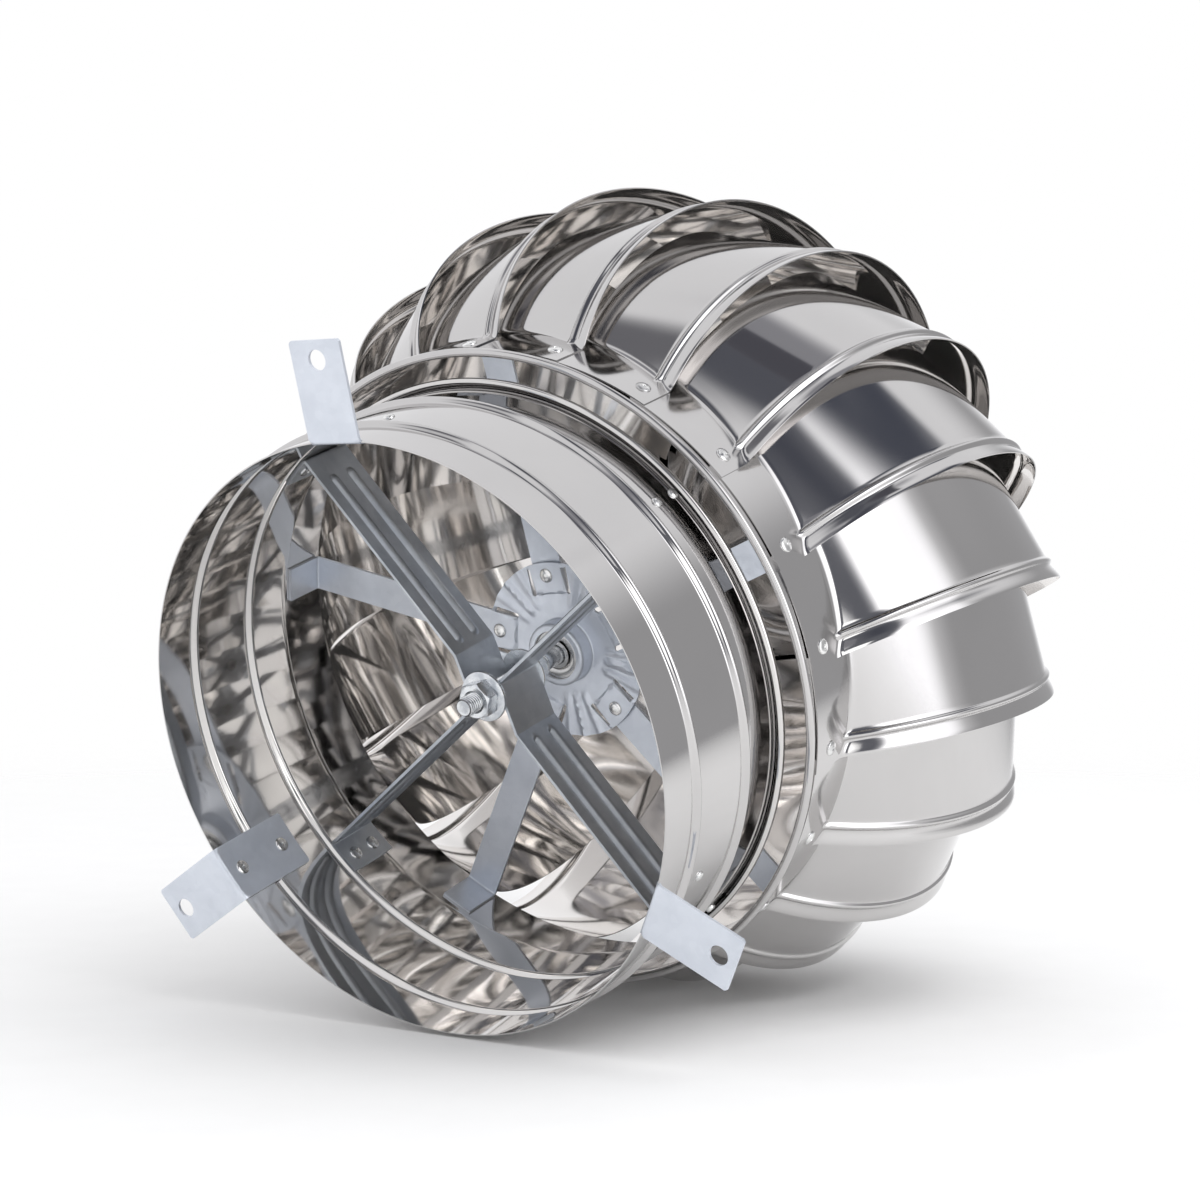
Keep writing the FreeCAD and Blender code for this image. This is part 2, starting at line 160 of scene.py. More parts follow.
class Draft:
    """Vertices and faces of one piece, in millimetres, gathered from several forms."""

    def __init__(self) -> None:
        """Start with nothing."""
        self.points: list[np.ndarray] = []
        self.faces: list[list[int]] = []
        self.inside: list[bool] = []
        self.count = 0

    def add(self, points: np.ndarray, faces: Sequence[Sequence[int]], inside: Sequence[bool] = ()) -> None:
        """Add a form.

        Args:
            points: Its vertices.
            faces: Its faces, as indices into the vertices.
            inside: Whether each face takes the inner material, a copy painted lighter. None does where this
                is left out.
        """
        self.points.append(np.asarray(points, float).reshape(-1, 3))
        self.faces.extend([i + self.count for i in face] for face in faces)
        self.inside.extend(inside if len(inside) else [False] * len(faces))
        self.count += len(self.points[-1])

    def add_loops(self, grid: np.ndarray, open_columns: bool = True, open_rows: bool = True) -> None:
        """Add a surface of quads.

        Args:
            grid: Points in rows and columns.
            open_columns: Whether the first and last columns stay apart.
            open_rows: Whether the first and last rows stay apart.
        """
        rows, columns = grid.shape[:2]
        index = np.arange(rows * columns).reshape(rows, columns)
        if not open_columns:
            index = np.concatenate([index, index[:, :1]], axis=1)
        if not open_rows:
            index = np.concatenate([index, index[:1]], axis=0)
        quads = np.stack([index[:-1, :-1], index[1:, :-1], index[1:, 1:], index[:-1, 1:]], axis=-1)
        self.add(grid, quads.reshape(-1, 4).tolist())

    def add_revolved(self, outline: Outline, segments: int, open_outline: bool = False) -> None:
        """Add a form turned about the axis.

        Args:
            outline: Points as (radius, height).
            segments: Pieces round the axis.
            open_outline: Whether the outline's ends lie on the axis and stay apart.
        """
        radii, heights = np.array(outline, float).T
        grid = polar(radii[:, None], np.arange(segments)[None, :] * 360 / segments, heights[:, None])
        self.add_loops(grid, open_columns=False, open_rows=open_outline)

    def add_sheet(self, grid: np.ndarray, thickness: float) -> None:
        """Add a closed sheet of one thickness round a middle surface, whose back takes the inner material
        painted lighter.

        Args:
            grid: Points of the middle surface in rows and columns.
            thickness: Thickness of the sheet.
        """
        normal = unit(np.cross(np.gradient(grid, axis=0), np.gradient(grid, axis=1))) * thickness / 2
        outer, inner = grid + normal, grid - normal
        ring = np.concatenate([outer, inner[:, ::-1]], axis=1)
        self.add_loops(ring, open_columns=False)
        rows, columns = grid.shape[:2]
        back = [columns <= i % (2 * columns) < 2 * columns - 1 for i in range((rows - 1) * 2 * columns)]
        self.inside[-len(back):] = back
        for row in (0, rows - 1):
            cap = np.stack([outer[row], inner[row]])
            self.add_loops(cap)

    def add_pattern(self, pattern: "Pattern", bend: Callable[[np.ndarray], tuple[np.ndarray, np.ndarray]],
                    thickness: float) -> None:
        """Add a cut sheet bent to shape.

        Args:
            pattern: The flat sheet.
            bend: Gives the middle surface's place and normal for flat points.
            thickness: Thickness of the sheet.
        """
        flat, triangles = pattern.triangles()
        place, normal = bend(flat)
        normal = unit(normal) * thickness / 2
        count = len(flat)
        sides: dict[tuple[int, int], int] = {}
        for triangle in triangles:
            for a, b in zip(triangle, triangle[1:] + triangle[:1]):
                if (b, a) in sides:
                    del sides[(b, a)]
                else:
                    sides[(a, b)] = 1
        faces = [list(t) for t in triangles] + [[i + count for i in t[::-1]] for t in triangles]
        faces += [[b, a, a + count, b + count] for a, b in sides]
        self.add(np.concatenate([place + normal, place - normal]), faces)

    def add_turned(self, other: "Draft", angle: float) -> None:
        """Add another draft's forms, turned about the axis by an angle in degrees."""
        self.add(turned(np.concatenate(other.points), angle), other.faces, other.inside)

    def add_placed(self, other: "Draft", place: np.ndarray, outward: np.ndarray) -> None:
        """Add another draft's forms with their +Z laid along a direction.

        Args:
            other: Draft drawn about its own +Z from the origin.
            place: Where its origin goes.
            outward: Where its +Z points.
        """
        turn = np.array(Vector((0, 0, 1)).rotation_difference(Vector(outward)).to_matrix())
        self.add(np.concatenate(other.points) @ turn.T + place, other.faces)

    def piece(self, name: str, body: Body, finish: Material, replaces: Sequence[str],
              crease: float = 32.0, inner_copy_painted_lighter: Material | None = None) -> None:
        """Make the piece and tie it to the frame.

        Args:
            name: Name of the piece.
            body: Body that it rides on.
            finish: Its material.
            replaces: CAD nodes that it stands for.
            crease: Angle in degrees over which an edge is drawn sharp.
            inner_copy_painted_lighter: Material of the faces inside, where it is another one: a copy of the
                steel painted lighter, standing in for the light lost inside.
        """
        mesh = bpy.data.meshes.new(name)
        mesh.from_pydata((np.concatenate(self.points) * METRES).tolist(), [], self.faces)
        mesh.materials.append(finish)
        if inner_copy_painted_lighter is not None:
            mesh.materials.append(inner_copy_painted_lighter)
            mesh.polygons.foreach_set("material_index", np.array(self.inside, dtype=np.int32))
        work = bmesh.new()
        work.from_mesh(mesh)
        bmesh.ops.remove_doubles(work, verts=work.verts, dist=MERGE_DISTANCE)
        bmesh.ops.recalc_face_normals(work, faces=work.faces)
        work.to_mesh(mesh)
        work.free()
        mesh.shade_smooth()
        mesh.set_sharp_from_angle(angle=math.radians(crease))
        made = bpy.data.objects.new(name, mesh)
        bpy.context.scene.collection.objects.link(made)
        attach(made, body.value)
        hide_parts(*replaces)
        slots = {node: slot for slot, nodes in slot_nodes().items() for node in nodes}
        LOG.info("%s: %d faces on %s", name, len(mesh.polygons), body.value)


def slot_nodes() -> dict[str, list[str]]:
    """CAD nodes of each material slot of the record."""
    found: dict[str, list[str]] = {}
    for name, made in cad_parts.items():
        for material in made.data.materials:
            found.setdefault(material.name.split(".")[0], []).append(name)
    return found


@dataclass
class Pattern:
    """Flat cut sheet with its outline, holes and the points inside that shape it."""

    outline: np.ndarray
    holes: list[np.ndarray]
    inner: np.ndarray

    def triangles(self) -> tuple[np.ndarray, list[list[int]]]:
        """Triangles of the sheet.

        Returns:
            The flat points and the triangles as indices into them.
        """
        points: list[Vector] = []
        edges: list[tuple[int, int]] = []
        for loop in [self.outline] + self.holes:
            start = len(points)
            points += [Vector(p) for p in loop]
            edges += [(start + i, start + (i + 1) % len(loop)) for i in range(len(loop))]
        points += [Vector(p) for p in self.inner]
        flat, _, faces, _, _, _ = delaunay_2d_cdt(points, edges, [], 0, 1e-5)
        flat = np.array([tuple(p) for p in flat])
        middles = flat[np.array(faces)].mean(axis=1)
        kept = self.covers(middles)
        return flat, [list(face) for face, keep in zip(faces, kept) if keep]

    def covers(self, points: np.ndarray) -> np.ndarray:
        """Whether points lie on the sheet.

        Args:
            points: Flat points.

        Returns:
            One truth value for each point.
        """
        inside = np.zeros(len(points), bool)
        for loop in [self.outline] + self.holes:
            ends = np.roll(loop, -1, axis=0)
            for (x0, y0), (x1, y1) in zip(loop, ends):
                crossing = (y0 > points[:, 1]) != (y1 > points[:, 1])
                with np.errstate(divide="ignore", invalid="ignore"):
                    reach = (x1 - x0) * (points[:, 1] - y0) / (y1 - y0) + x0
                inside ^= crossing & (points[:, 0] < reach)
        return inside


def circle(x: float, y: float, radius: float, sides: int = 40) -> np.ndarray:
    """Flat circle of points."""
    turn = np.arange(sides) * 2 * math.pi / sides
    return np.stack([x + radius * np.cos(turn), y + radius * np.sin(turn)], axis=1)


class Value:
    """Shader socket that takes part in arithmetic."""

    def __init__(self, shader: "Shader", socket: bpy.types.NodeSocket) -> None:
        """Wrap a socket of a shader."""
        self.shader = shader
        self.socket = socket

    def math(self, operation: str, *others: "Value | float") -> "Value":
        """Math node with this value first."""
        return self.shader.node("ShaderNodeMath", {"operation": operation}, [self, *others])

    def __add__(self, other: "Value | float") -> "Value":
        """Sum."""
        return self.math("ADD", other)

    def __sub__(self, other: "Value | float") -> "Value":
        """Difference."""
        return self.math("SUBTRACT", other)

    def __rsub__(self, other: float) -> "Value":
        """Difference from a number."""
        return self.math("MULTIPLY_ADD", -1.0, other)

    def __mul__(self, other: "Value | float") -> "Value":
        """Product."""
        return self.math("MULTIPLY", other)

    def __truediv__(self, other: "Value | float") -> "Value":
        """Quotient."""
        return self.math("DIVIDE", other)

    def ramp(self, low: float, high: float, start: float = 0.0, end: float = 1.0) -> "Value":
        """Smooth ramp of this value.

        Args:
            low: Value where the ramp starts.
            high: Value where the ramp ends.
            start: Result at and below low.
            end: Result at and above high.

        Returns:
            The ramp's result.
        """
        settings = {"interpolation_type": "SMOOTHSTEP"}
        return self.shader.node("ShaderNodeMapRange", settings, [self, low, high, start, end])


class Shader:
    """Node tree of a material or of the world."""

    def __init__(self, tree: bpy.types.NodeTree) -> None:
        """Take a tree and empty it."""
        self.tree = tree
        self.tree.nodes.clear()

    def node(self, kind: str, settings: dict[str, object], inputs: "Sequence[object] | dict[str, object]",
             output: int | str = 0) -> Value:
        """Add a node.

        Args:
            kind: Type of the node.
            settings: Its settings, set first.
            inputs: Values or links of its sockets, in order or by name.
            output: Socket that the result is taken from.

        Returns:
            The output socket.
        """
        made = self.tree.nodes.new(kind)
        for name, setting in settings.items():
            setattr(made, name, setting)
        named = inputs.items() if isinstance(inputs, dict) else enumerate(inputs)
        for key, given in named:
            if isinstance(given, Value):
                self.tree.links.new(given.socket, made.inputs[key])
            else:
                made.inputs[key].default_value = given
        return Value(self, made.outputs[output]) if len(made.outputs) else Value(self, made.inputs[0])

    def place(self) -> Value:
        """Place on the object, in metres."""
        return self.node("ShaderNodeTexCoord", {}, [], "Object")

    def scaled(self, place: Value, scale: Colour) -> Value:
        """Place scaled along each axis."""
        return self.node("ShaderNodeVectorMath", {"operation": "MULTIPLY"}, [place, scale])

    def length(self, vector: Value) -> Value:
        """Length of a vector."""
        return self.node("ShaderNodeVectorMath", {"operation": "LENGTH"}, [vector], "Value")

    def dot(self, vector: Value, axis: Colour) -> Value:
        """Length of a vector along an axis."""
        return self.node("ShaderNodeVectorMath", {"operation": "DOT_PRODUCT"}, [vector, axis], "Value")

    def noise(self, place: Value, scale: float, detail: float = 2.0, roughness: float = 0.5) -> Value:
        """Noise from 0 to 1 at a scale per metre."""
        sockets = {"Vector": place, "Scale": scale, "Detail": detail, "Roughness": roughness}
        return self.node("ShaderNodeTexNoise", {}, sockets, "Fac")

    def mixed(self, factor: "Value | float", first: "Value | Colour", second: "Value | Colour") -> Value:
        """Colour mix."""
        made = self.tree.nodes.new("ShaderNodeMix")
        made.data_type = "RGBA"
        for socket, given in zip((made.inputs[0], made.inputs[6], made.inputs[7]), (factor, first, second)):
            if isinstance(given, Value):
                self.tree.links.new(given.socket, socket)
            else:
                socket.default_value = (*given, 1.0) if isinstance(given, tuple) else given
        return Value(self, made.outputs[2])

    def bumped(self, height: Value) -> Value:
        """Normal of a surface with a height in millimetres."""
        return self.node("ShaderNodeBump", {}, {"Strength": 1.0, "Distance": METRES, "Height": height})

    def surface(self, inputs: dict[str, object]) -> None:
        """Principled surface joined to the material's output."""
        shaded = self.node("ShaderNodeBsdfPrincipled", {}, inputs)
        self.node("ShaderNodeOutputMaterial", {}, [shaded])


def new_material(name: str) -> tuple[Material, Shader]:
    """Material with an empty tree."""
    material = bpy.data.materials.new(name)
    material.use_nodes = True
    return material, Shader(material.node_tree)


@dataclass(frozen=True)
class Finish:
    """Finish of metal parts."""

    name: str

    def look(self, shader: Shader, place: Value) -> tuple[Value, float, Value, Value]:
        """Base colour, metallic share, roughness and height in millimetres."""
        raise NotImplementedError

    def material(self) -> Material:
        """Build the material."""
        material, shader = new_material(self.name)
        colour, metallic, rough, height = self.look(shader, shader.place())
        shader.surface({"Base Color": colour, "Metallic": metallic, "Roughness": rough,
                        "Normal": shader.bumped(height)})
        return material


@dataclass(frozen=True)
class PolishedSteel(Finish):
    """Mirror stainless sheet, with the slight waves of thin sheet and faint polishing lines."""

    wave_height: float
    wave_size: float
    tint: Colour = (0.60, 0.59, 0.585)
    dull: float = 0.05
    metallic: float = 1.0

    def look(self, shader: Shader, place: Value) -> tuple[Value, float, Value, Value]:
        """Colour with faint smudges, and the sheet's waves."""
        waves = shader.noise(place, 1000 / self.wave_size, 1.0) * self.wave_height
        broad = shader.noise(place, 400 / self.wave_size, 0.0) * (2.5 * self.wave_height)
        lines = shader.noise(shader.scaled(place, (900.0, 900.0, 60.0)), 1.0, 3.0)
        smudge = shader.noise(place, 22.0, 3.0).ramp(0.4, 0.75)
        colour = shader.mixed(smudge * 0.35, self.tint, tuple(0.92 * c for c in self.tint))
        rough = lines * 0.02 + smudge * 0.03 + (self.dull - 0.02)
        return colour, self.metallic, rough, waves + broad + lines * 0.0006


@dataclass(frozen=True)
class GalvanisedSteel(Finish):
    """Zinc-coated sheet with a pale satin surface, faint spangles and rolling lines."""

    light: Colour = (0.74, 0.78, 0.85)
    dark: Colour = (0.64, 0.68, 0.75)
    grain: Colour = (500.0, 500.0, 80.0)
    metallic: float = 0.65

    def look(self, shader: Shader, place: Value) -> tuple[Value, float, Value, Value]:
        """Colour with clouds and spangles, and rolling lines."""
        cells = shader.node("ShaderNodeTexVoronoi", {}, {"Vector": place, "Scale": 260.0}, "Color")
        spangle = shader.node("ShaderNodeSeparateColor", {}, [cells])
        lines = shader.noise(shader.scaled(place, self.grain), 1.0, 4.0)
        cloud = shader.noise(place, 45.0, 4.0).ramp(0.35, 0.7)
        colour = shader.mixed(cloud * 0.6 + spangle * 0.25, self.light, self.dark)
        rough = lines * 0.10 + 0.26 + spangle * 0.06
        return colour, self.metallic, rough, lines * 0.004 + spangle * 0.003


@dataclass(frozen=True)
class ZincPlate(Finish):
    """Bright zinc plating of nuts, washers, rivets and the stud, duller in patches."""

    light: Colour = (0.82, 0.84, 0.86)
    dark: Colour = (0.55, 0.58, 0.62)
    rough: float = 0.22
    thread_radius: float = 0.0
    # Dark colour painted into a thread's roots as shade.
    groove_painted_shade: Colour = (0.16, 0.16, 0.17)

    def look(self, shader: Shader, place: Value) -> tuple[Value, float, Value, Value]:
        """Colour in patches, with painted shade darkening the grooves of a thread."""
        cloud = shader.noise(place, 160.0, 4.0).ramp(0.4, 0.7)
        fine = shader.noise(place, 1500.0, 3.0)
        colour = shader.mixed(cloud, self.light, self.dark)
        if self.thread_radius:
            # Painted shade: the roots of the thread are darkened by their distance from the axis, while the
            # crests and the end faces keep the plating's colour.
            radius = shader.length(shader.scaled(place, (1.0, 1.0, 0.0))) / METRES
            crest = radius.ramp(self.thread_radius - 0.9, self.thread_radius - 0.25)
            end = radius.ramp(self.thread_radius - 1.3, self.thread_radius - 0.95, 1.0, 0.0)
            colour = shader.mixed(crest.math("MAXIMUM", end), self.groove_painted_shade, colour)
        return colour, 1.0, cloud * 0.12 + fine * 0.06 + self.rough, fine * 0.01


@dataclass(frozen=True)
class BearingSteel(Finish):
    """Ground steel of the bearing rings."""

    light: Colour = (0.56, 0.56, 0.56)
    dark: Colour = (0.24, 0.24, 0.25)

    def look(self, shader: Shader, place: Value) -> tuple[Value, float, Value, Value]:
        """Colour in clouds, with fine grinding marks."""
        cloud = shader.noise(place, 220.0, 3.0).ramp(0.4, 0.75)
        lines = shader.noise(place, 2500.0, 2.0)
        return shader.mixed(cloud * 0.5, self.light, self.dark), 1.0, lines * 0.15 + 0.12, lines * 0.006


FINISHES = (
    PolishedSteel("neck_polished_steel", 0.03, 40.0),
    # Painted light: the neck's inner copy of the steel has a lighter tint and a little diffuse share,
    # standing in for the light lost between bounces inside the neck.
    PolishedSteel("neck_inner_steel_painted_lighter", 0.09, 38.0, (0.69, 0.675, 0.66), 0.055, 0.97),
    PolishedSteel("vane_polished_steel", 0.05, 40.0, dull=0.08),
    # Painted light: the vanes' inner copy of the steel has a much lighter tint and a little diffuse share,
    # standing in for the light lost between bounces inside the cage.
    PolishedSteel("vane_inner_polished_steel", 0.06, 40.0, (0.87, 0.845, 0.82), 0.07, 0.94),
    PolishedSteel("ring_polished_steel", 0.04, 40.0),
    GalvanisedSteel("galvanised_sheet"),
    GalvanisedSteel("galvanised_strip", (0.56, 0.59, 0.63), (0.42, 0.45, 0.49), metallic=0.88),
    ZincPlate("zinc_plated_parts"),
    # The stud's copy paints shade into the roots of its thread.
    ZincPlate("zinc_plated_stud", (0.80, 0.82, 0.84), (0.50, 0.52, 0.55), 0.14, 5.0),
    ZincPlate("rivet_metal", light=(0.86, 0.86, 0.85), dark=(0.6, 0.6, 0.6), rough=0.16),
    BearingSteel("bearing_ground_steel"),
)


@dataclass
class RivetForm:
    """Blind rivet: a domed head with the hole of its pulled pin, and a low tail."""

    head_radius: float = 3.8
    head_height: float = 1.5
    tail_radius: float = 2.8
    tail_height: float = 1.4
    pin_radius: float = 1.2

    def head(self) -> Draft:
        """Head that lies on the plane at its origin and rises along +Z."""
        draft = Draft()
        r, h, pin = self.head_radius, self.head_height, self.pin_radius
        dome = [(r * math.cos(a), 0.25 + (h - 0.25) * math.sin(a)) for a in np.linspace(0, 1.22, 8)]
        outline = [(0.0, -0.2), (r, -0.2)] + dome + [(pin, h * 0.98), (pin * 0.8, h * 0.55), (0.0, h * 0.62)]
        draft.add_revolved(outline, 28, open_outline=True)
        return draft

    def tail(self) -> Draft:
        """Tail that lies on the plane at its origin and rises along +Z."""
        draft = Draft()
        r, h = self.tail_radius, self.tail_height
        dome = [(r * math.cos(a) ** 0.7, h * math.sin(a)) for a in np.linspace(0, 1.5, 8)]
        draft.add_revolved([(0.0, -0.2), (r, -0.2)] + dome + [(0.0, h)], 24, open_outline=True)
        return draft

    def add_through_wall(self, rivets: Draft, angle: float, height: float,
                         inner: float, outer: float) -> None:
        """Add a rivet through the neck's wall.

        Args:
            rivets: Draft that takes it.
            angle: Angle of its place in degrees.
            height: Height of its place.
            inner: Distance from the axis of the face under the head.
            outer: Distance from the axis of the face under the tail.
        """
        inward = polar(-1.0, angle, 0.0)
        rivets.add_placed(self.head(), polar(inner, angle, height), inward)
        rivets.add_placed(self.tail(), polar(outer, angle, height), -inward)


@dataclass
class NeckCollar:
    """Neck cylinder with two pressed beads and a curled top edge."""

    radius: float = 150.0
    sheet: float = 0.6
    bottom: float = 1.5
    top: float = 102.0
    bead_heights: tuple[float, float] = (27.5, 70.5)
    bead_half_width: float = 3.5
    bead_depth: float = 2.5
    bead_rows: int = 29
    curl: float = 2.0
    segments: int = 288

    def middle_line(self) -> Outline:
        """Middle line of the sheet as (radius, height)."""
        wall = self.radius - self.sheet / 2
        heights = [self.bottom, self.bottom + 0.3]
        reach = 1.6 * self.bead_half_width
        for middle in self.bead_heights:
            heights += list(np.linspace(middle - reach, middle + reach, self.bead_rows))
        heights += list(np.linspace(self.bead_heights[1] + 8, self.top - 2 * self.curl - 1, 5))
        line = [(wall + self.bead(height), float(height)) for height in heights]
        centre = self.top - self.curl - self.sheet / 2
        round_part = [(wall + self.curl - self.curl * math.cos(a), centre + self.curl * math.sin(a))
                      for a in np.linspace(0, 1.45 * math.pi, 19)]
        return line + round_part

    def bead(self, height: float) -> float:
        """How far the wall stands out at a height."""
        return sum(self.bead_depth * float(swell(abs(height - middle) / self.bead_half_width))
                   for middle in self.bead_heights)

    def build(self, finish: Material, inner_copy_painted_lighter: Material) -> None:
        """Build the neck."""
        draft = Draft()
        outline = thickened(self.middle_line(), self.sheet)
        draft.add_revolved(outline, self.segments)
        # The inside faces take the copy of the steel painted lighter, for the light lost inside the neck.
        draft.inside = [i // self.segments < len(outline) // 2 for i in range(len(draft.faces))]
        draft.piece("neck_collar_sheet", Body.BASE, finish, ["neck_collar"], 50.0, inner_copy_painted_lighter)


@dataclass
class RoofBrackets:
    """Three bent brackets inside the neck's lower edge, each with a bolt hole and two rivets."""

    angles: tuple[float, float, float] = (-37.2, 82.8, 202.8)
    width: float = 30.0
    sheet: float = 1.5
    leg: float = 52.0
    reach: float = 198.0
    hole_radius: float = 5.0
    hole_place: float = 188.5
    fold_radius: float = 2.2
    corner: float = 1.2
    edge_step: float = 3.0
    wall: float = 149.4
    rivet_heights: tuple[float, float] = (11.0, 42.0)

    def path(self) -> np.ndarray:
        """Middle line from the leg's top down and out to the tab's end, as (distance, height)."""
        middle = self.wall - self.sheet / 2
        line = rounded([(middle, self.leg), (middle, self.sheet / 2), (self.reach, self.sheet / 2)],
                       self.fold_radius, 8)
        return np.array(line)

    def bend(self, flat: np.ndarray) -> tuple[np.ndarray, np.ndarray]:
        """Bend flat points, given as (distance along the path, distance across it)."""
        path = self.path()
        run = run_lengths(path)
        reach = np.interp(flat[:, 0], run, path[:, 0])
        height = np.interp(flat[:, 0], run, path[:, 1])
        along = unit(np.gradient(path, axis=0))
        ways = [np.interp(flat[:, 0], run, along[:, i]) for i in (0, 1)]
        middle = self.wall - self.sheet / 2
        rolled = 1 - smooth_step(self.leg - 8, self.leg, flat[:, 0])
        sag = (middle - np.sqrt(middle ** 2 - flat[:, 1] ** 2)) * rolled
        place = np.stack([reach - sag, flat[:, 1], height], axis=1)
        lean = flat[:, 1] / middle * rolled
        normal = np.stack([ways[1], lean * np.abs(ways[1]) * np.sign(ways[1]), -ways[0]], axis=1)
        return place, normal

    def form(self) -> Draft:
        """One bracket at angle 0."""
        length = float(run_lengths(self.path())[-1])
        half, corner = self.width / 2, self.corner
        outline = [(0, half - corner), (corner, half), (length - corner, half), (length, half - corner),
                   (length, corner - half), (length - corner, -half), (corner, -half), (0, corner - half)]
        edge: list[tuple[float, float]] = []
        for (x0, y0), (x1, y1) in zip(outline, outline[1:] + outline[:1]):
            steps = max(1, int(math.hypot(x1 - x0, y1 - y0) / self.edge_step))
            edge += [(x0 + (x1 - x0) * i / steps, y0 + (y1 - y0) * i / steps) for i in range(steps)]
        fold = np.arange(self.leg - 4.5, self.leg + 3, 0.5)
        tab = np.arange(self.leg + 6, length - 3, 8)
        columns = np.concatenate([np.arange(3, self.leg - 5, 6), fold, tab])
        rows = np.linspace(3 - half, half - 3, 7)
        inner = np.stack(np.meshgrid(columns, rows), axis=-1).reshape(-1, 2)
        hole = (length - (self.reach - self.hole_place), 0.0)
        inner = inner[np.hypot(inner[:, 0] - hole[0], inner[:, 1]) > self.hole_radius + 1.5]
        draft = Draft()
        flat = Pattern(np.array(edge), [circle(*hole, self.hole_radius)], inner)
        draft.add_pattern(flat, self.bend, self.sheet)
        return draft

    def build(self, finish: Material, rivet_finish: Material, neck: NeckCollar) -> None:
        """Build the brackets and their rivets."""
        form, rivet = self.form(), RivetForm()
        brackets, rivets = Draft(), Draft()
        for angle in self.angles:
            brackets.add_turned(form, angle)
            for height in self.rivet_heights:
                rivet.add_through_wall(rivets, angle, height, self.wall - self.sheet, neck.radius)
        brackets.piece("roof_bracket_sheets", Body.BASE, finish, ["roof_brackets"])
        rivets.piece("roof_bracket_rivets", Body.BASE, rivet_finish, ["bracket_rivets"])


@dataclass
class Spider:
    """Two bent strips on edge that carry the stud, with pressed ribs and riveted ends."""

    angle: float = 17.7
    sheet: float = 1.5
    depth: float = 32.0
    bottom: float = 72.0
    long_fold: float = 25.0
    short_fold: float = 10.5
    tab: float = 19.0
    rivet_inset: float = 11.0
    rivet_spacing: float = 14.0
    rib_half_width: float = 2.9
    rib_height: float = 2.0
    rib_spacing: float = 13.0
    rib_start: float = 29.0
    rib_end: float = 136.0
    bend: float = 2.4
    tab_steps: int = 6
    row_step: float = 0.8
    wall: float = 149.4

    def plan(self) -> np.ndarray:
        """Middle line of the strip seen along the axis, with its bends rounded and finely divided."""
        reach = self.wall - self.sheet / 2
        sweep = math.degrees(self.tab / self.wall)
        shares = np.arange(self.tab_steps + 1) / self.tab_steps
        first = [polar(reach, self.angle - sweep * (1 - share), 0) for share in shares[:-1]]
        middle = [polar(reach, self.angle, 0), polar(self.short_fold, self.angle, 0),
                  polar(self.long_fold, self.angle + 90, 0), polar(reach, self.angle + 90, 0)]
        last = [polar(reach, self.angle + 90 - sweep * share, 0) for share in shares[1:]]
        line = np.array(rounded([tuple(p[:2]) for p in first + middle + last], self.bend, 6))
        run = run_lengths(line)
        fine = np.unique(np.concatenate([run, np.arange(0, run[-1], 1.0)]))
        return np.stack([np.interp(fine, run, line[:, i]) for i in (0, 1)], axis=1)

    def rib(self, places: np.ndarray, heights: np.ndarray) -> np.ndarray:
        """How far the pressed ribs stand out over the strip.

        Args:
            places: Distance from the axis of each column, negative on the second arm.
            heights: Height of each row above the strip's lower edge.

        Returns:
            Rows and columns of distances.
        """
        total = np.zeros((len(heights), len(places)))
        along = np.abs(places)[None, :]
        past = np.maximum(np.maximum(self.rib_start + self.rib_half_width - along,
                                     along - self.rib_end + self.rib_half_width), 0)
        for middle in (self.depth / 2 - self.rib_spacing / 2, self.depth / 2 + self.rib_spacing / 2):
            away = np.hypot(past, heights[:, None] - middle) / self.rib_half_width
            total += swell(away)
        return total * self.rib_height

    def strip(self) -> Draft:
        """One strip with two arms."""
        plan = self.plan()
        along = unit(np.gradient(plan, axis=0))
        side = np.stack([-along[:, 1], along[:, 0]], axis=1)
        first = polar(1.0, self.angle, 0.0)[:2]
        second = polar(1.0, self.angle + 90, 0.0)[:2]
        places = np.where(plan @ first > plan @ second, plan @ first, -(plan @ second))
        # The end tabs lie flat on the neck, without ribs.
        near_wall = np.linalg.norm(plan, axis=1) > self.wall - 3
        places = np.where(near_wall, FAR_AWAY, places)
        heights = np.unique(np.append(np.arange(0, self.depth + 0.1, self.row_step), self.depth))
        ribs = self.rib(places, heights)
        flat = plan[None] + side[None] * ribs[..., None]
        grid = np.concatenate([flat, np.broadcast_to((self.bottom + heights)[:, None, None],
                                                     (*flat.shape[:2], 1))], axis=2)
        draft = Draft()
        draft.add_sheet(grid, self.sheet)
        return draft

    def build(self, finish: Material, rivet_finish: Material, neck: NeckCollar) -> None:
        """Build both strips and the rivets."""
        strip = self.strip()
        for number, turn in ((1, 0.0), (2, 180.0)):
            draft = Draft()
            draft.add_turned(strip, turn)
            draft.piece(f"spider_strip_{number}_sheet", Body.BASE, finish, [f"spider_strip_{number}"])
        rivets, rivet = Draft(), RivetForm()
        back = math.degrees(self.rivet_inset / self.wall)
        middle = self.bottom + self.depth / 2
        for arm in range(4):
            angle = self.angle + 90 * arm - back
            for height in (middle - self.rivet_spacing / 2, middle + self.rivet_spacing / 2):
                rivet.add_through_wall(rivets, angle, height, self.wall - self.sheet, neck.radius)
        rivets.piece("spider_end_rivets", Body.BASE, rivet_finish, ["spider_rivets"])


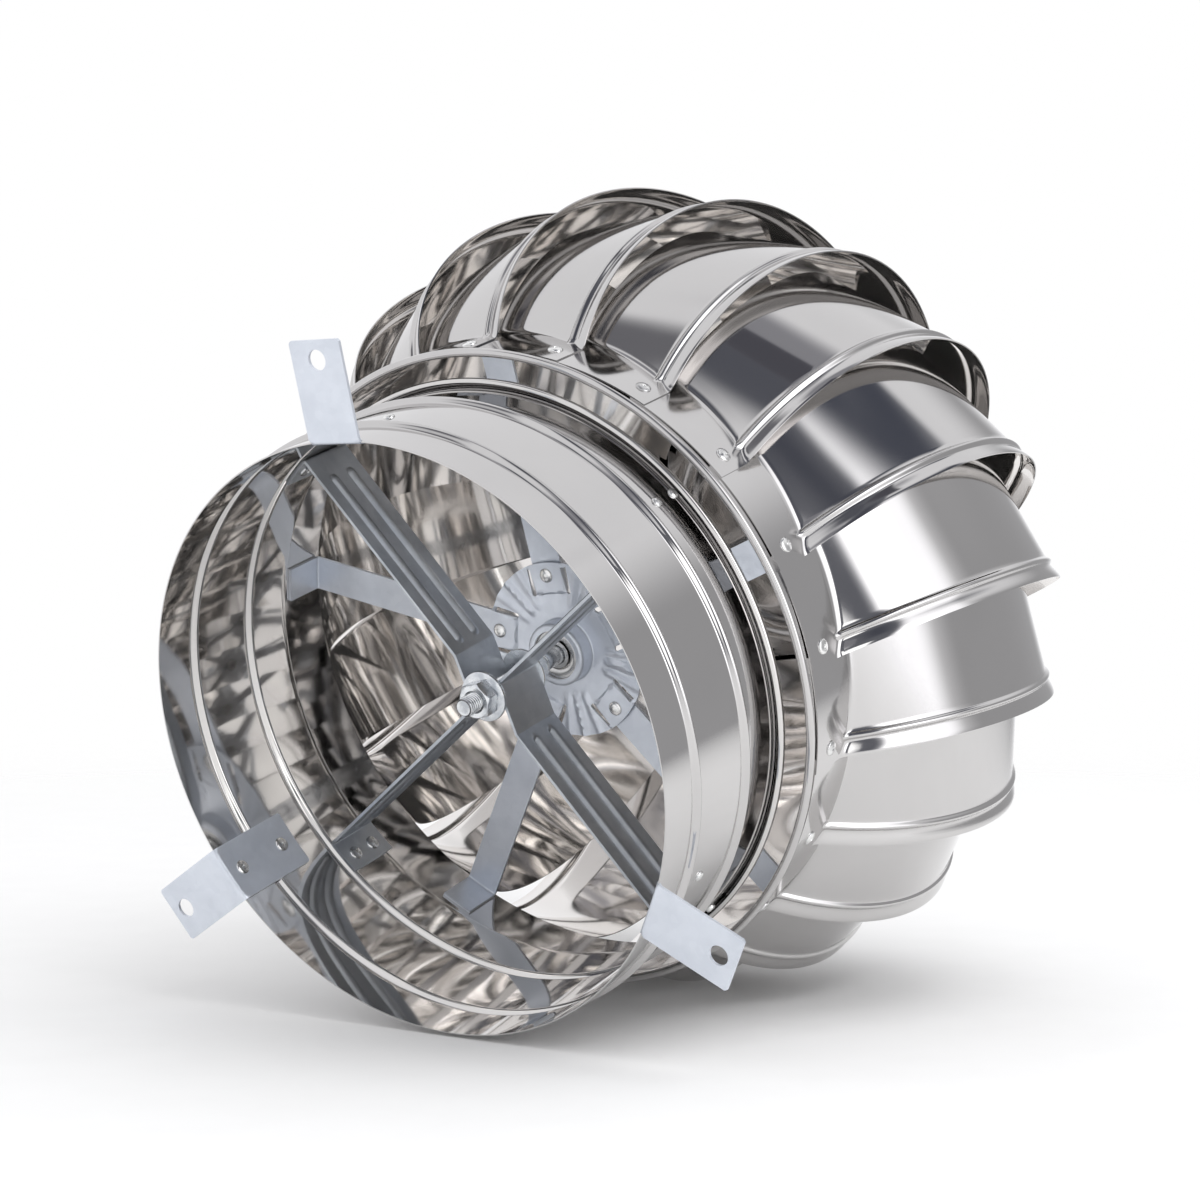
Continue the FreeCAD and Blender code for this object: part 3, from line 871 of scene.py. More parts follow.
@dataclass
class StudAndNuts:
    """Threaded stud with its nuts and washers."""

    radius: float = 5.0
    bottom: float = 53.5
    top: float = 382.0
    pitch: float = 1.5
    thread_depth: float = 0.92
    flank_slope: float = 1.25
    crest_width: float = 0.12
    end_chamfer: float = 1.0
    thread_sides: int = 32
    rows_per_turn: int = 8
    lower_thread_end: float = 122.0
    upper_thread_start: float = 338.0
    across_flats: float = 17.0
    nut_height: float = 8.0
    nut_sides: int = 72
    washer_radius: float = 13.0
    washer_thickness: float = 2.0

    def thread(self, low: float, high: float) -> Draft:
        """Thread between two heights, as a wound surface with tapered ends."""
        sides = self.thread_sides
        turns = (high - low) / self.pitch
        steps = int(turns * self.rows_per_turn) + 1
        heights = np.linspace(low, high, steps)
        angle = np.arange(sides) * 360 / sides
        phase = (heights[:, None] - low) / self.pitch - angle[None, :] / 360
        wave = np.abs((phase % 1.0) - 0.5) * 2
        depth = self.thread_depth * np.clip(self.flank_slope * wave - self.crest_width, 0, 1)
        inward = np.minimum(heights - low, high - heights)[:, None]
        radius = np.minimum(self.radius - depth, self.radius - self.end_chamfer + np.maximum(inward, 0))
        grid = polar(radius, angle[None, :], heights[:, None])
        draft = Draft()
        draft.add_loops(grid, open_columns=False)
        for row, height in ((0, low), (-1, high)):
            points = np.concatenate([grid[row], [[0, 0, height]]])
            draft.add(points, [[i, (i + 1) % sides, sides] for i in range(sides)])
        return draft

    def nut(self, bottom: float, turn: float) -> Draft:
        """Hexagon nut with both faces chamfered."""
        angle = np.arange(self.nut_sides) * 360 / self.nut_sides
        flat = self.across_flats / 2
        hexagon = flat / np.cos(np.radians((angle + 30) % 60 - 30))
        corner = flat / math.cos(math.radians(30))
        slope = math.tan(math.radians(28))
        cone = flat * 0.96
        lower = []
        for share in np.linspace(0, 1, 5):
            height = share * (corner - cone) * slope
            lower.append((np.minimum(hexagon, cone + height / slope), height))
        rows = [(radius, bottom + height) for radius, height in lower]
        rows += [(radius, bottom + self.nut_height - height) for radius, height in lower[::-1]]
        bore = np.full(self.nut_sides, self.radius)
        top = bottom + self.nut_height
        loops = [(bore, bottom + 0.8), (bore + 0.9, bottom), *rows, (bore + 0.9, top), (bore, top - 0.8)]
        grid = np.stack([polar(radius, angle + turn, height) for radius, height in loops])
        draft = Draft()
        draft.add_loops(grid, open_columns=False, open_rows=False)
        return draft

    def washer(self, bottom: float) -> Draft:
        """Washer with rounded rims."""
        draft = Draft()
        low, high, r = bottom, bottom + self.washer_thickness, self.washer_radius
        lower = [(self.radius, low), (r - 0.6, low), (r - 0.15, low + 0.2), (r, low + 0.7)]
        upper = [(r, high - 0.7), (r - 0.15, high - 0.2), (r - 0.6, high), (self.radius, high)]
        draft.add_revolved(lower + upper, 96)
        return draft

    def build(self, finish: Material, nut_finish: Material, spider: Spider,
              upper_bearing: float, bearing_width: float) -> None:
        """Build the stud, its nuts and its washers."""
        stud = Draft()
        stud.add_turned(self.thread(self.bottom, self.lower_thread_end), 0)
        stud.add_turned(self.thread(self.upper_thread_start, self.top), 0)
        shank = self.radius - 0.15
        stud.add_revolved([(0.0, self.lower_thread_end - 1), (shank, self.lower_thread_end - 1),
                           (shank, self.upper_thread_start + 1), (0.0, self.upper_thread_start + 1)], 48,
                          open_outline=True)
        stud.piece("threaded_stud", Body.BASE, finish, ["shaft"], 18.0)
        nuts = Draft()
        top = spider.bottom + spider.depth
        lower = spider.bottom - self.washer_thickness
        for bottom, turn in ((lower - self.nut_height, 12.0), (top + self.washer_thickness, 34.0),
                             (upper_bearing - self.nut_height, 5.0), (upper_bearing + bearing_width, 22.0)):
            nuts.add_turned(self.nut(bottom, turn), 0)
        for bottom in (lower, top):
            nuts.add_turned(self.washer(bottom), 0)
        nuts.piece("stud_nuts_and_washers", Body.BASE, nut_finish, ["nuts_and_washers"], 25.0)


@dataclass
class Bearings:
    """Two shielded ball bearings of one size."""

    bottoms: tuple[float, float]
    outer: float = 15.0
    inner: float = 7.4
    bore: float = 5.0
    width: float = 9.0
    land: float = 2.0
    chamfer: float = 0.5
    shield_drop: float = 0.8
    shield_dish: float = 0.25
    shield_gap: float = 0.9

    def ring(self, outline: Outline) -> Draft:
        """Both bearings' rings of one outline, drawn from height 0."""
        draft = Draft()
        for bottom in self.bottoms:
            draft.add_revolved([(r, z + bottom) for r, z in outline], 96)
        return draft

    def build(self, finish: Material) -> None:
        """Build the rings and shields."""
        w, chamfer, bore, rim = self.width, self.chamfer, self.bore, self.inner
        inner = [(bore + chamfer, 0), (rim - 0.2, 0), (rim, 0.2), (rim, w - 0.2),
                 (rim - 0.2, w), (bore + chamfer, w), (bore, w - chamfer), (bore, chamfer)]
        self.ring(inner).piece("bearing_inner_ring_forms", Body.BASE, finish, ["bearing_inner_rings"])
        rim, land = self.outer, self.outer - self.land
        drop, dish, edge = self.shield_drop, self.shield_dish, self.inner + self.shield_gap
        outer = [(rim - chamfer, 0), (rim, chamfer), (rim, w - chamfer), (rim - chamfer, w), (land, w),
                 (land - 0.3, w - drop), (land - 1.6, w - drop), (land - 2.0, w - drop + dish),
                 (edge + 0.6, w - drop + dish), (edge, w - drop), (edge, drop), (edge + 0.6, drop - dish),
                 (land - 2.0, drop - dish), (land - 1.6, drop), (land - 0.3, drop), (land, 0)]
        self.ring(outer).piece("bearing_outer_ring_forms", Body.ROTOR, finish, ["bearing_outer_rings"])


@dataclass
class HubPlate:
    """Pressed disc round the lower bearing with a tongue between two slots for each arm."""

    radius: float = 47.0
    sheet: float = 1.2
    bottom: float = 142.0
    cup_floor: float = 132.3
    cup_radius: float = 15.6
    lip: float = 13.0
    flare: float = 21.5
    slot_width: float = 2.6
    slot_start: float = 29.0
    slot_offset: float = 11.0
    crease_height: float = 1.6
    slot_end: float = 2.2
    tongue_start: float = 31.0
    tongue_drop: float = 1.2
    crease_half_width: float = 2.6
    creases: tuple[tuple[float, float], ...] = ((24.0, 0.55), (36.0, 1.0), (48.0, 0.55))
    point_step: float = 1.2
    arms: Sequence[float] = ()

    def outline(self) -> np.ndarray:
        """Rim of the disc."""
        return polar(self.radius - 0.3, np.arange(0, 360, 1.5), 0.0)[:, :2]

    def slots(self) -> list[np.ndarray]:
        """Slot on each side of every tongue, with round inner ends."""
        out = []
        half = self.slot_width / 2
        for angle in self.arms:
            for y in (-self.slot_offset, self.slot_offset):
                end = polar(half, np.linspace(90, 270, 7), 0.0) + np.array([self.slot_start + half, y, 0])
                reach = math.sqrt((self.radius - self.slot_end) ** 2 - y * y)
                points = np.concatenate([end, [[reach, y - half, 0], [reach, y + half, 0]]])
                out.append(turned(points, angle)[:, :2])
        return out

    def bend(self, flat: np.ndarray) -> tuple[np.ndarray, np.ndarray]:
        """Press the creases and the tongues into the flat disc."""
        def height(x: np.ndarray, y: np.ndarray) -> np.ndarray:
            """Height of the pressed sheet's middle."""
            r = np.hypot(x, y)
            angle = np.degrees(np.arctan2(y, x))
            fade = smooth_step(self.flare + 1, self.flare + 6, r) * self.crease_height
            total = np.zeros_like(r)
            for arm in self.arms:
                for offset, strength in self.creases:
                    away = (angle - arm - offset + 180) % 360 - 180
                    across = np.abs(np.radians(away)) * r
                    total -= strength * fade * np.clip(1 - across / self.crease_half_width, 0, 1)
                turn = math.radians(arm)
                along = x * math.cos(turn) + y * math.sin(turn)
                beside = np.abs(y * math.cos(turn) - x * math.sin(turn))
                pressed = smooth_step(self.tongue_start - 1.2, self.tongue_start, along)
                total -= self.tongue_drop * pressed * (beside < self.slot_offset)
            return total + self.bottom + self.sheet / 2

        x, y = flat.T
        step = 0.2
        z = height(x, y)
        slope_x = (height(x + step, y) - height(x - step, y)) / (2 * step)
        slope_y = (height(x, y + step) - height(x, y - step)) / (2 * step)
        return np.stack([x, y, z], axis=1), np.stack([-slope_x, -slope_y, np.ones_like(x)], axis=1)

    def build(self, finish: Material) -> None:
        """Build the plate."""
        rings = []
        for r in np.arange(self.flare + self.point_step, self.radius - 1, self.point_step):
            count = max(60, int(2 * math.pi * r / 1.3))
            rings.append(polar(r, np.arange(0, 360, 360 / count), 0.0)[:, :2])
        inner = np.concatenate(rings)
        slots = self.slots()
        for slot in slots:
            inner = inner[self.distance(inner, slot) >= 0.7]
        pattern = Pattern(self.outline(), slots + [circle(0, 0, self.flare, 96)], inner)
        pattern.inner = inner[pattern.covers(inner)]
        draft = Draft()
        draft.add_pattern(pattern, self.bend, self.sheet)
        middle = self.bottom + self.sheet / 2
        floor = self.cup_floor + self.sheet / 2
        cup = rounded([(self.lip, floor), (self.cup_radius + 0.6, floor), (self.cup_radius + 0.6, middle),
                       (self.flare, middle)], 1.8, 6)
        draft.add_revolved(thickened(cup, self.sheet), 128)
        draft.piece("lower_hub_plate_pressing", Body.ROTOR, finish, ["lower_hub_plate"], 28.0)

    @staticmethod
    def distance(points: np.ndarray, loop: np.ndarray) -> np.ndarray:
        """Distance of points from a closed line."""
        best = np.full(len(points), np.inf)
        for a, b in zip(loop, np.roll(loop, -1, axis=0)):
            run = b - a
            share = np.clip(((points - a) @ run) / (run @ run), 0, 1)
            best = np.minimum(best, np.linalg.norm(points - a - share[:, None] * run, axis=1))
        return best


@dataclass
class RotorArms:
    """Five flat arms from the hub plate to the base ring, their outer ends folded down."""

    first: float = -40.7
    count: int = 5
    width: float = 18.0
    sheet: float = 1.5
    inner_end: float = 31.0
    bottom: float = 143.2
    wall: float = 163.4
    drop: float = 24.0
    fold_radius: float = 2.2
    hub_rivet: float = 40.0

    def angles(self) -> list[float]:
        """Angles of the arms."""
        return [self.first + 360 / self.count * i for i in range(self.count)]

    def arm(self) -> Draft:
        """One arm at angle 0."""
        middle = self.bottom + self.sheet / 2
        wall = self.wall - self.sheet / 2
        corners = [(self.inner_end, middle), (wall, middle), (wall, self.bottom + self.sheet - self.drop)]
        path = np.array(rounded(corners, self.fold_radius, 8))
        run = run_lengths(path)
        fine = np.unique(np.concatenate([run, np.arange(0, run[-1], 3.0)]))
        reach, height = (np.interp(fine, run, path[:, i]) for i in (0, 1))
        across = np.linspace(-self.width / 2, self.width / 2, 13)
        rolled = smooth_step(wall - 14, wall, reach)
        sag = (wall - np.sqrt(wall ** 2 - across[:, None] ** 2)) * rolled[None]
        grid = np.stack([reach[None] - sag, np.broadcast_to(across[:, None], sag.shape),
                         np.broadcast_to(height[None], sag.shape)], axis=-1)
        draft = Draft()
        draft.add_sheet(grid, self.sheet)
        return draft

    def build(self, finish: Material, rivet_finish: Material, hub: HubPlate) -> None:
        """Build the arms and the rivets at the hub."""
        arm, rivet, rivets = self.arm(), RivetForm(), Draft()
        head, tail = rivet.head(), rivet.tail()
        for number, angle in enumerate(self.angles(), 1):
            draft = Draft()
            draft.add_turned(arm, angle)
            draft.piece(f"rotor_arm_{number}_strip", Body.ROTOR, finish, [f"rotor_arm_{number}"])
            rivets.add_placed(head, polar(self.hub_rivet, angle, hub.bottom - hub.tongue_drop), -UP)
            rivets.add_placed(tail, polar(self.hub_rivet, angle, self.bottom + self.sheet), UP)
        rivets.piece("arm_hub_rivets", Body.ROTOR, rivet_finish, ["arm_rivets"])


@dataclass
class BaseRing:
    """Band that carries the vanes, its lower edge curled outwards."""

    radius: float = 164.0
    sheet: float = 0.6
    bottom: float = 101.8
    top: float = 145.5
    curl: float = 1.9

    def build(self, finish: Material) -> None:
        """Build the ring."""
        wall = self.radius - self.sheet / 2
        centre = self.bottom + self.curl + self.sheet / 2
        line = [(wall, self.top), (wall, self.top - 15), (wall, centre + 9), (wall, centre + 3)]
        line += [(wall + self.curl - self.curl * math.cos(a), centre - self.curl * math.sin(a))
                 for a in np.linspace(0, 1.5 * math.pi, 21)]
        draft = Draft()
        draft.add_revolved(thickened(line, self.sheet), 288)
        draft.piece("base_ring_band", Body.ROTOR, finish, ["base_ring"], 50.0)


@dataclass
class Vanes:
    """Twenty curved vanes, each lapped over the next, with a bead along the free edge."""

    count: int = 20
    first: float = -22.7
    sheet: float = 0.6
    tucked: float = -17.5
    free: float = 3.4
    flange_bottom: float = 112.0
    rivet_height: float = 125.0
    fold_radius: float = 164.0
    fold_height: float = 136.0
    bend_radius: float = 119.3
    bend_centre: float = 97.0
    sweep: float = 70.0
    slope: float = 0.0241
    flange_inner: float = 84.0
    top_lead: float = 49.0
    set_back: float = 0.404
    lean: float = 0.165
    lap_gap: float = 0.02
    rivet_seat: float = 0.6
    fold_bend: float = 2.6
    inset: float = 1.7
    bead_place: float = 9.6
    bead_half_width: float = 2.4
    bead_height: float = 1.8
    lip_starts: tuple[float, ...] = (0.0, 0.6, 1.5, 3.0, 4.6, 6.0)
    lip_width: float = 14.0
    search_start: float = -75.0
    search_steps: int = 40
    rows: int = 54
    columns: int = 15

    def belly(self) -> float:
        """Height of the widest place of the blade."""
        rise = math.sqrt(self.bend_radius ** 2 - (self.fold_radius - self.bend_centre) ** 2)
        return self.fold_height + rise

    def edge_height(self, along: np.ndarray) -> np.ndarray:
        """How far the blade stands out at a distance from its free edge."""
        away = np.abs(along - self.bead_place) / self.bead_half_width
        bead = swell(away) * self.bead_height
        flare = 1 - smooth_step(0.5, self.bead_place - self.bead_half_width * 0.6, along)
        return bead - self.inset + self.inset * flare

    def __post_init__(self) -> None:
        """Work out the directions that all columns share."""
        span = math.radians(self.free - self.tucked)
        step = math.radians(360 / self.count)
        self.outward = polar(1.0, self.free, 0.0)
        self.across = polar(1.0, self.sweep, self.slope)
        self.shift = polar((self.sheet + self.lap_gap) / step, (self.tucked + self.free) / 2 + 90, 0.0)
        self.flange = self.fold_radius + self.lap_gap + self.sheet / 2
        self.flange += float(np.linalg.norm(self.shift)) * math.sin(span / 2)
        self.along = float(self.across @ self.outward)
        self.beside = float(np.cross(self.outward, self.across)[2])
        self.tangent = math.tan(span)

    def grid(self) -> np.ndarray:
        """Middle surface of one vane with its rivet at angle 0: rows from the flange's lower edge over the
        blade to the top flange, columns from the free edge to the tucked edge."""
        low, high = self.bead_place - self.bead_half_width, self.bead_place + self.bead_half_width
        starts = np.unique([*self.lip_starts, *np.linspace(low, high, 11), self.lip_width])
        columns = [self.column(float(start), 0.0) for start in starts]
        shares = np.linspace(0, 1, self.columns)[1:]
        columns += [self.column(self.lip_width, float(share)) for share in shares]
        return np.stack(columns, axis=1)

    def place(self, reach: float, turn: float, bend: float, start: float, share: float) -> np.ndarray:
        """Place on the blade's middle surface.

        Args:
            reach: Distance from the axis in the plane of the base corner.
            turn: Angle round the bend there, in radians.
            bend: Radius of the bend.
            start: Distance from the free edge where the column starts.
            share: Share of the way on from there to the tucked edge.

        Returns:
            The point.
        """
        height = self.belly() + bend * math.sin(turn) - self.slope * self.top_lead
        slant = self.set_back * (self.fold_radius - reach) + self.lean * (height - self.fold_height)
        free = slant / (self.beside + self.set_back * self.along)
        free = min(free, reach * self.tangent / (self.beside - self.along * self.tangent))
        slope = self.set_back * math.sin(turn) + self.lean * math.cos(turn)
        edge = free - start * math.hypot(1.0, slope)
        tucked = -reach * self.tangent / (self.beside + self.along * self.tangent)
        beside = edge + (tucked - edge) * share
        return self.outward * reach + UP * height + self.across * beside

    def column(self, start: float, share: float) -> np.ndarray:
        """One column of the vane's middle surface.

        Args:
            start: Distance from the free edge where the column starts.
            share: Share of the way on from there to the tucked edge.

        Returns:
            Points from bottom to top.
        """
        bend = self.bend_radius + float(self.edge_height(np.array(start)))

        def point(turn: float) -> np.ndarray:
            """Place at an angle round the bend."""
            return self.place(self.bend_centre + bend * math.cos(turn), turn, bend, start, share)

        low, high = math.radians(self.search_start), 0.0
        for _ in range(self.search_steps):
            middle = (low + high) / 2
            if np.linalg.norm((point(middle) - self.shift)[:2]) < self.flange:
                low = middle
            else:
                high = middle
        fold = point(high)
        rise = 1.4 * self.fold_bend / bend
        above = point(high + rise)
        below = fold - UP * self.fold_bend
        lower = [np.array([fold[0], fold[1], z]) for z in np.linspace(self.flange_bottom, below[2] - 0.5, 5)]
        shares = [i / 7 for i in range(8)]
        curved = [below * (1 - t) ** 2 + fold * 2 * t * (1 - t) + above * t ** 2 for t in shares]
        blade = [point(float(turn)) for turn in np.linspace(high + rise, math.pi / 2, self.rows + 1)[1:]]
        flat = [self.place(float(reach), math.pi / 2, bend, start, share)
                for reach in np.linspace(self.bend_centre, self.flange_inner, 5)[1:]]
        return np.array(lower + curved + blade + flat)

    def build(self, finish: Material, inner_copy_painted_lighter: Material,
              rivet_finish: Material) -> None:
        """Build the vanes and their base rivets."""
        grid = self.grid()
        one = Draft()
        one.add_sheet(grid, self.sheet)
        head, rivets = RivetForm(head_height=1.3).head(), Draft()
        seat = self.fold_radius + self.lap_gap + self.sheet + self.rivet_seat
        for i in range(self.count):
            angle = self.first + 360 / self.count * i
            draft = Draft()
            draft.add_turned(one, angle)
            node = f"vane_{i + 1:02d}"
            # The vane's inner side takes the copy of the steel painted lighter, for the light lost inside
            # the cage.
            draft.piece(f"{node}_blade", Body.ROTOR, finish, [node], 40.0, inner_copy_painted_lighter)
            rivets.add_placed(head, polar(seat, angle, self.rivet_height), polar(1.0, angle, 0.0))
        rivets.piece("vane_base_rivet_heads", Body.ROTOR, rivet_finish, ["vane_base_rivets"])


@dataclass
class TopPlate:
    """Disc over the vanes' top flanges with the upper bearing's cup."""

    radius: float = 107.0
    sheet: float = 1.0
    cup: float = 15.0
    step: float = 13.0
    shoulder: float = 9.0
    ridge_radius: float = 60.0
    ridge_width: float = 5.0
    ridge_height: float = 0.8

    def build(self, finish: Material, box: tuple[Vector, Vector]) -> None:
        """Build the plate inside the box of its CAD node."""
        low = box[0][2] / METRES
        high = box[1][2] / METRES
        middle, roof = low + self.sheet / 2, high - self.sheet / 2
        wall, throat = self.cup + self.sheet / 2, self.step + self.sheet / 2
        shoulder = low + self.shoulder + self.sheet / 2
        rim = self.radius - 0.2
        corners = [(0.0, roof), (throat, roof), (throat, shoulder),
                   (wall, shoulder), (wall, middle), (rim, middle)]
        line = [(r, z) for r, z in rounded(corners, 1.4, 5) if r <= wall + 3]
        for r in (*np.linspace(wall + 4, self.radius - 6, 30), *np.linspace(self.radius - 5, rim, 5)):
            ridge = self.ridge_height * math.exp(-((r - self.ridge_radius) / self.ridge_width) ** 2)
            line.append((float(r), middle + ridge))
        draft = Draft()
        draft.add_revolved(thickened(line, self.sheet), 192)
        draft.piece("top_plate_pressing", Body.ROTOR, finish, ["top_plate"], 40.0)


@dataclass(frozen=True)
class Patch:
    """Patch of the mirrored studio, in degrees: its sides counted from straight behind the object to the
    right, its heights from the camera's level up, and how soft its edges are."""

    sides: tuple[float, float]
    heights: tuple[float, float]
    colour: Colour
    soft: float = 5.0


@dataclass
class Studio:
    """Pale floor, soft studio light and the camera."""

    camera_place: Colour = (876.427, 468.094, -1021.794)
    camera_axes: tuple[Colour, Colour, Colour] = (
        (0.351983, 0.755143, 0.553052), (0.752412, -0.579732, 0.312708), (0.556762, 0.306056, -0.772235))
    lens: float = 90.001
    shift: tuple[float, float] = (-0.00116, 0.00168)
    floor_up: Colour = (0.776894, -0.565251, 0.277356)
    floor_size: float = 2600.0
    floor_sides: int = 96
    floor_middle: Colour = (0.0, 0.0, 180.0)
    floor_fade: tuple[float, float] = (0.5, 1.6)
    floor_gap: float = 0.4
    middle: Colour = (0.0, 0.0, 200.0)
    key_place: Colour = (0.35, 0.8, 0.5)
    key_size: float = 1.6
    key_distance: float = 2.2
    key_energy: float = 18.0
    patches: tuple[Patch, ...] = (
        Patch((20.0, 106.0), (-46.0, 34.0), (0.45, 0.45, 0.46), 10.0),
        Patch((-210.0, 210.0), (76.0, 100.0), (0.34, 0.34, 0.37), 4.0),
        Patch((132.0, 210.0), (66.0, 100.0), (0.10, 0.10, 0.12), 4.0),
        Patch((-128.0, -98.0), (45.0, 66.0), (0.20, 0.20, 0.22), 6.0),
        Patch((-210.0, -155.0), (48.0, 80.0), (0.12, 0.125, 0.15), 9.0),
        Patch((-210.0, -164.0), (22.0, 44.0), (0.30, 0.30, 0.33), 6.0),
        Patch((72.0, 152.0), (47.5, 58.5), (0.085, 0.092, 0.12), 5.0),
        Patch((151.0, 210.0), (-26.0, 70.0), (0.17, 0.175, 0.20), 3.0),
        Patch((160.0, 176.0), (30.0, 60.0), (0.09, 0.095, 0.12), 7.0),
        Patch((112.0, 151.0), (-26.0, 47.0), (1.7, 1.7, 1.75), 6.0),
        Patch((126.0, 150.0), (-8.0, 34.0), (2.6, 2.6, 2.65), 4.0),
        Patch((165.0, 177.0), (-22.0, 14.0), (2.0, 2.0, 2.0), 2.0),
    )

    def camera(self) -> None:
        """Make the camera."""
        data = bpy.data.cameras.new("camera")
        data.lens = self.lens
        data.sensor_width = 36.0
        data.sensor_fit = "HORIZONTAL"
        data.shift_x, data.shift_y = self.shift
        data.clip_start = 0.05
        made = bpy.data.objects.new("camera", data)
        made.matrix_world = self.facing(self.camera_place, *self.camera_axes)
        bpy.context.scene.collection.objects.link(made)
        bpy.context.scene.camera = made

    @staticmethod
    def facing(place: Colour, right: Colour, up: Colour, back: Colour) -> Matrix:
        """Matrix of a camera or lamp from its place and axes."""
        turn = Matrix((right, up, back)).transposed().to_4x4()
        return Matrix.Translation(Vector(place) * METRES) @ turn

    def lowest(self) -> float:
        """How far the object reaches down along the floor's normal, in metres."""
        up = np.array(self.floor_up)
        depths = []
        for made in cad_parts.values():
            points = np.empty(len(made.data.vertices) * 3)
            made.data.vertices.foreach_get("co", points)
            depths.append(float((points.reshape(-1, 3) @ up).min()))
        return min(depths)

    def floor(self) -> None:
        """Make the floor that the object lies on."""
        up = Vector(self.floor_up).normalized()
        side = up.orthogonal().normalized()
        other = up.cross(side)
        draft = Draft()
        sides = self.floor_sides
        radii = np.linspace(0, self.floor_size, 12)[1:]
        grid = polar(radii[:, None], np.arange(sides) * 360 / sides, 0.0)
        points = grid[..., :1] * np.array(side) + grid[..., 1:2] * np.array(other)
        draft.add_loops(points, open_columns=False)
        fan = [[i, (i + 1) % sides, sides] for i in range(sides)]
        draft.add(np.concatenate([points[0], [[0, 0, 0]]]), fan)
        mesh = bpy.data.meshes.new("floor")
        mesh.from_pydata((np.concatenate(draft.points) * METRES).tolist(), [], draft.faces)
        made = bpy.data.objects.new("floor", mesh)
        middle = Vector(self.floor_middle) * METRES
        made.location = middle + up * (self.lowest() - self.floor_gap * METRES - middle.dot(up))
        mesh.materials.append(self.floor_material())
        bpy.context.scene.collection.objects.link(made)

    def floor_material(self) -> Material:
        """White floor that fades out far from the object and from below."""
        material, shader = new_material("studio_floor")
        place = shader.place()
        far = shader.length(place).ramp(*self.floor_fade)
        below = shader.node("ShaderNodeNewGeometry", {}, [], "Backfacing")
        hidden = far.math("MAXIMUM", below)
        grain = shader.noise(place, 30.0, 2.0)
        white = shader.mixed(grain, (0.93, 0.93, 0.93), (0.96, 0.96, 0.96))
        solid = shader.node("ShaderNodeBsdfPrincipled", {}, {"Base Color": white, "Roughness": 0.9,
                                                            "Specular IOR Level": 0.0})
        clear = shader.node("ShaderNodeBsdfTransparent", {}, [])
        both = shader.node("ShaderNodeMixShader", {}, [hidden, solid, clear])
        shader.node("ShaderNodeOutputMaterial", {}, [both])
        return material

    def key(self) -> None:
        """Make the large soft lamp, which the mirrors do not show."""
        axes = [Vector(axis) for axis in self.camera_axes]
        toward = sum((axis * way for axis, way in zip(axes, self.key_place)), Vector()).normalized()
        data = bpy.data.lights.new("key_lamp", "AREA")
        data.size = self.key_size
        data.energy = self.key_energy
        made = bpy.data.objects.new("key_lamp", data)
        right = axes[1].cross(toward).normalized()
        place = Vector(self.middle) + toward * (self.key_distance / METRES)
        made.matrix_world = self.facing(place, right, toward.cross(right), toward)
        made.visible_glossy = False
        bpy.context.scene.collection.objects.link(made)

    def mirrored(self, shader: Shader) -> Value:
        """Colour that mirrors see in each direction: a white backdrop with the studio's patches."""
        direction = shader.node("ShaderNodeTexCoord", {}, [], "Generated")
        right, up, back = (shader.dot(direction, axis) for axis in self.camera_axes)
        side = right.math("ARCTAN2", back * -1.0) * math.degrees(1)
        height = up.math("ARCSINE") * math.degrees(1)
        colour: Value | Colour = (0.98, 0.98, 1.0)
        for patch in self.patches:
            inside = 1.0
            for value, (low, high) in ((side, patch.sides), (height, patch.heights)):
                inside = (value.ramp(low - patch.soft, low + patch.soft) * inside
                          * (1 - value.ramp(high - patch.soft, high + patch.soft)))
            colour = shader.mixed(inside, colour, patch.colour)
        return colour

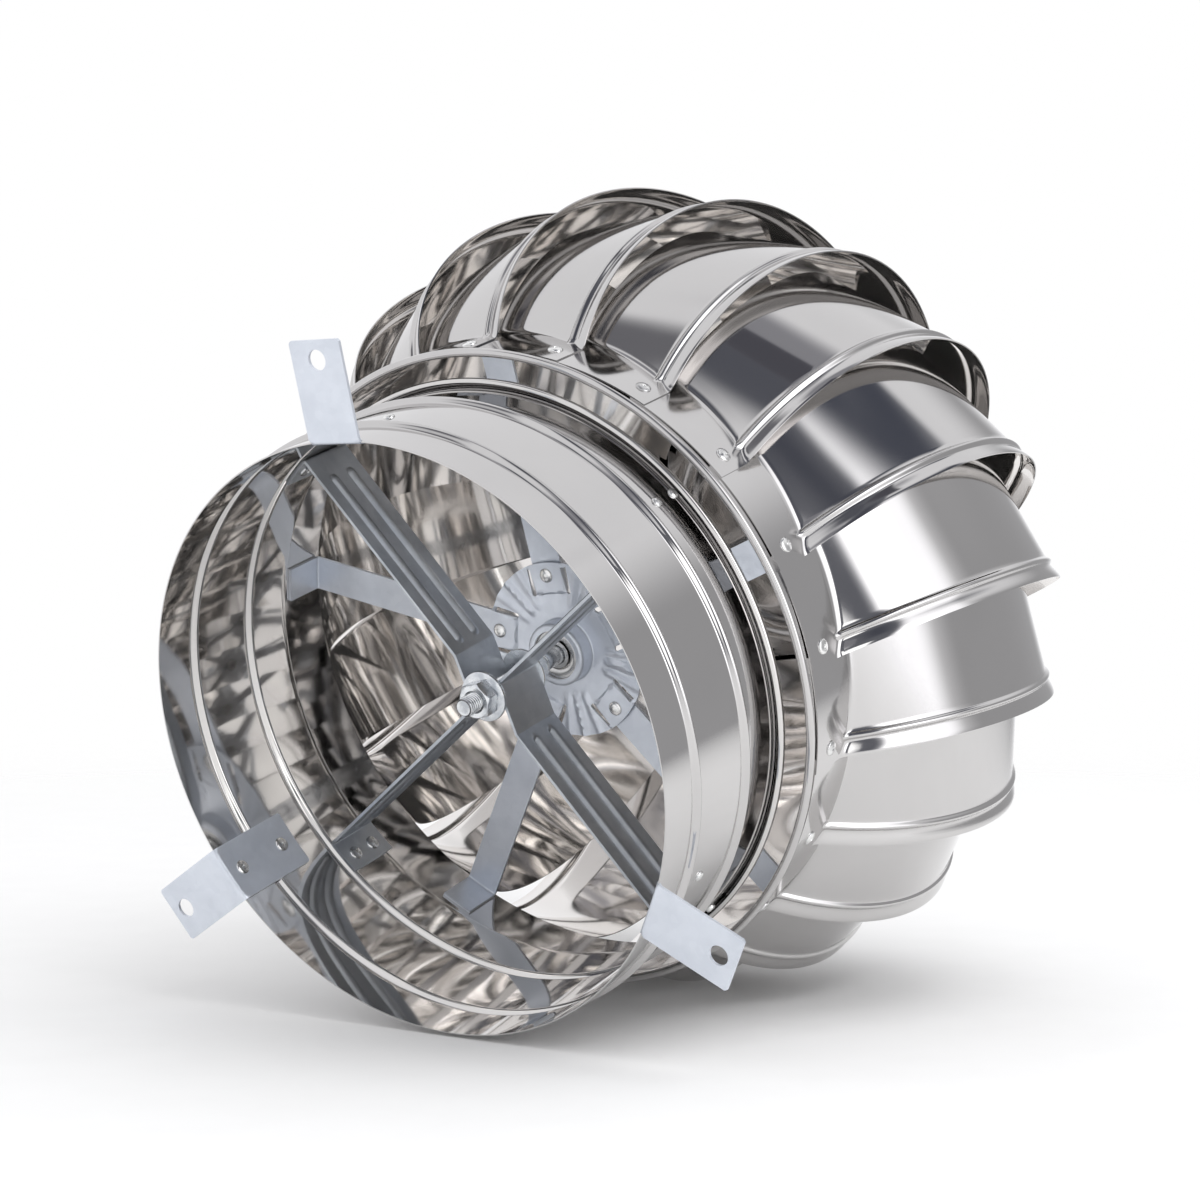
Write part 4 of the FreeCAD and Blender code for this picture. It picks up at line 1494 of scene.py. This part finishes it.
    def world(self) -> None:
        """Make the world: white to the camera, the studio to mirrors and an even light to the rest."""
        world = bpy.data.worlds.new("studio_world")
        world.use_nodes = True
        bpy.context.scene.world = world
        shader = Shader(world.node_tree)
        path = shader.tree.nodes.new("ShaderNodeLightPath")
        seen = Value(shader, path.outputs["Is Camera Ray"])
        glossy = Value(shader, path.outputs["Is Glossy Ray"])
        colour = shader.mixed(glossy, (0.92, 0.92, 0.93), self.mirrored(shader))
        colour = shader.mixed(seen, colour, (1.0, 1.0, 1.0))
        background = shader.node("ShaderNodeBackground", {}, {"Color": colour, "Strength": 1.0})
        shader.node("ShaderNodeOutputWorld", {}, [background])

    def build(self) -> None:
        """Make the whole studio."""
        self.camera()
        self.floor()
        self.key()
        self.world()
        bpy.context.scene.view_settings.view_transform = "Standard"


def dress_leftovers(finishes: dict[str, Material]) -> None:
    """Give every CAD node the finish of its slot, so that none keeps a plain colour."""
    for slot, names in slot_nodes().items():
        for name in names:
            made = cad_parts[name]
            for entry in made.material_slots:
                entry.material = finishes[slot]


def main() -> None:
    """Build the ventilator's looks over its frame."""
    logging.basicConfig(level=logging.INFO, format="%(message)s")
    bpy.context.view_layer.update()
    made = {finish.name: finish.material() for finish in FINISHES}
    galvanised, zinc, rivet_metal = made["galvanised_sheet"], made["zinc_plated_parts"], made["rivet_metal"]
    vane_steel, ground_steel = made["vane_polished_steel"], made["bearing_ground_steel"]

    neck = NeckCollar()
    neck.build(made["neck_polished_steel"], made["neck_inner_steel_painted_lighter"])
    RoofBrackets().build(galvanised, rivet_metal, neck)
    spider = Spider()
    spider.build(made["galvanised_strip"], rivet_metal, neck)
    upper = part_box("top_plate")[0][2] / METRES
    bearings = Bearings((133.5, upper))
    bearings.build(ground_steel)
    stud = StudAndNuts(top=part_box("shaft")[1][2] / METRES)
    stud.build(made["zinc_plated_stud"], zinc, spider, upper, bearings.width)
    arms = RotorArms()
    hub = HubPlate(arms=arms.angles())
    hub.build(galvanised)
    arms.build(galvanised, rivet_metal, hub)
    BaseRing().build(made["ring_polished_steel"])
    Vanes().build(vane_steel, made["vane_inner_polished_steel"], rivet_metal)
    TopPlate().build(vane_steel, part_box("top_plate"))
    dress_leftovers({"polished_stainless": vane_steel, "galvanised_steel": galvanised,
                     "zinc_plated_fasteners": zinc, "bearing_steel": ground_steel})
    Studio().build()


if __name__ == "__main__":
    main()
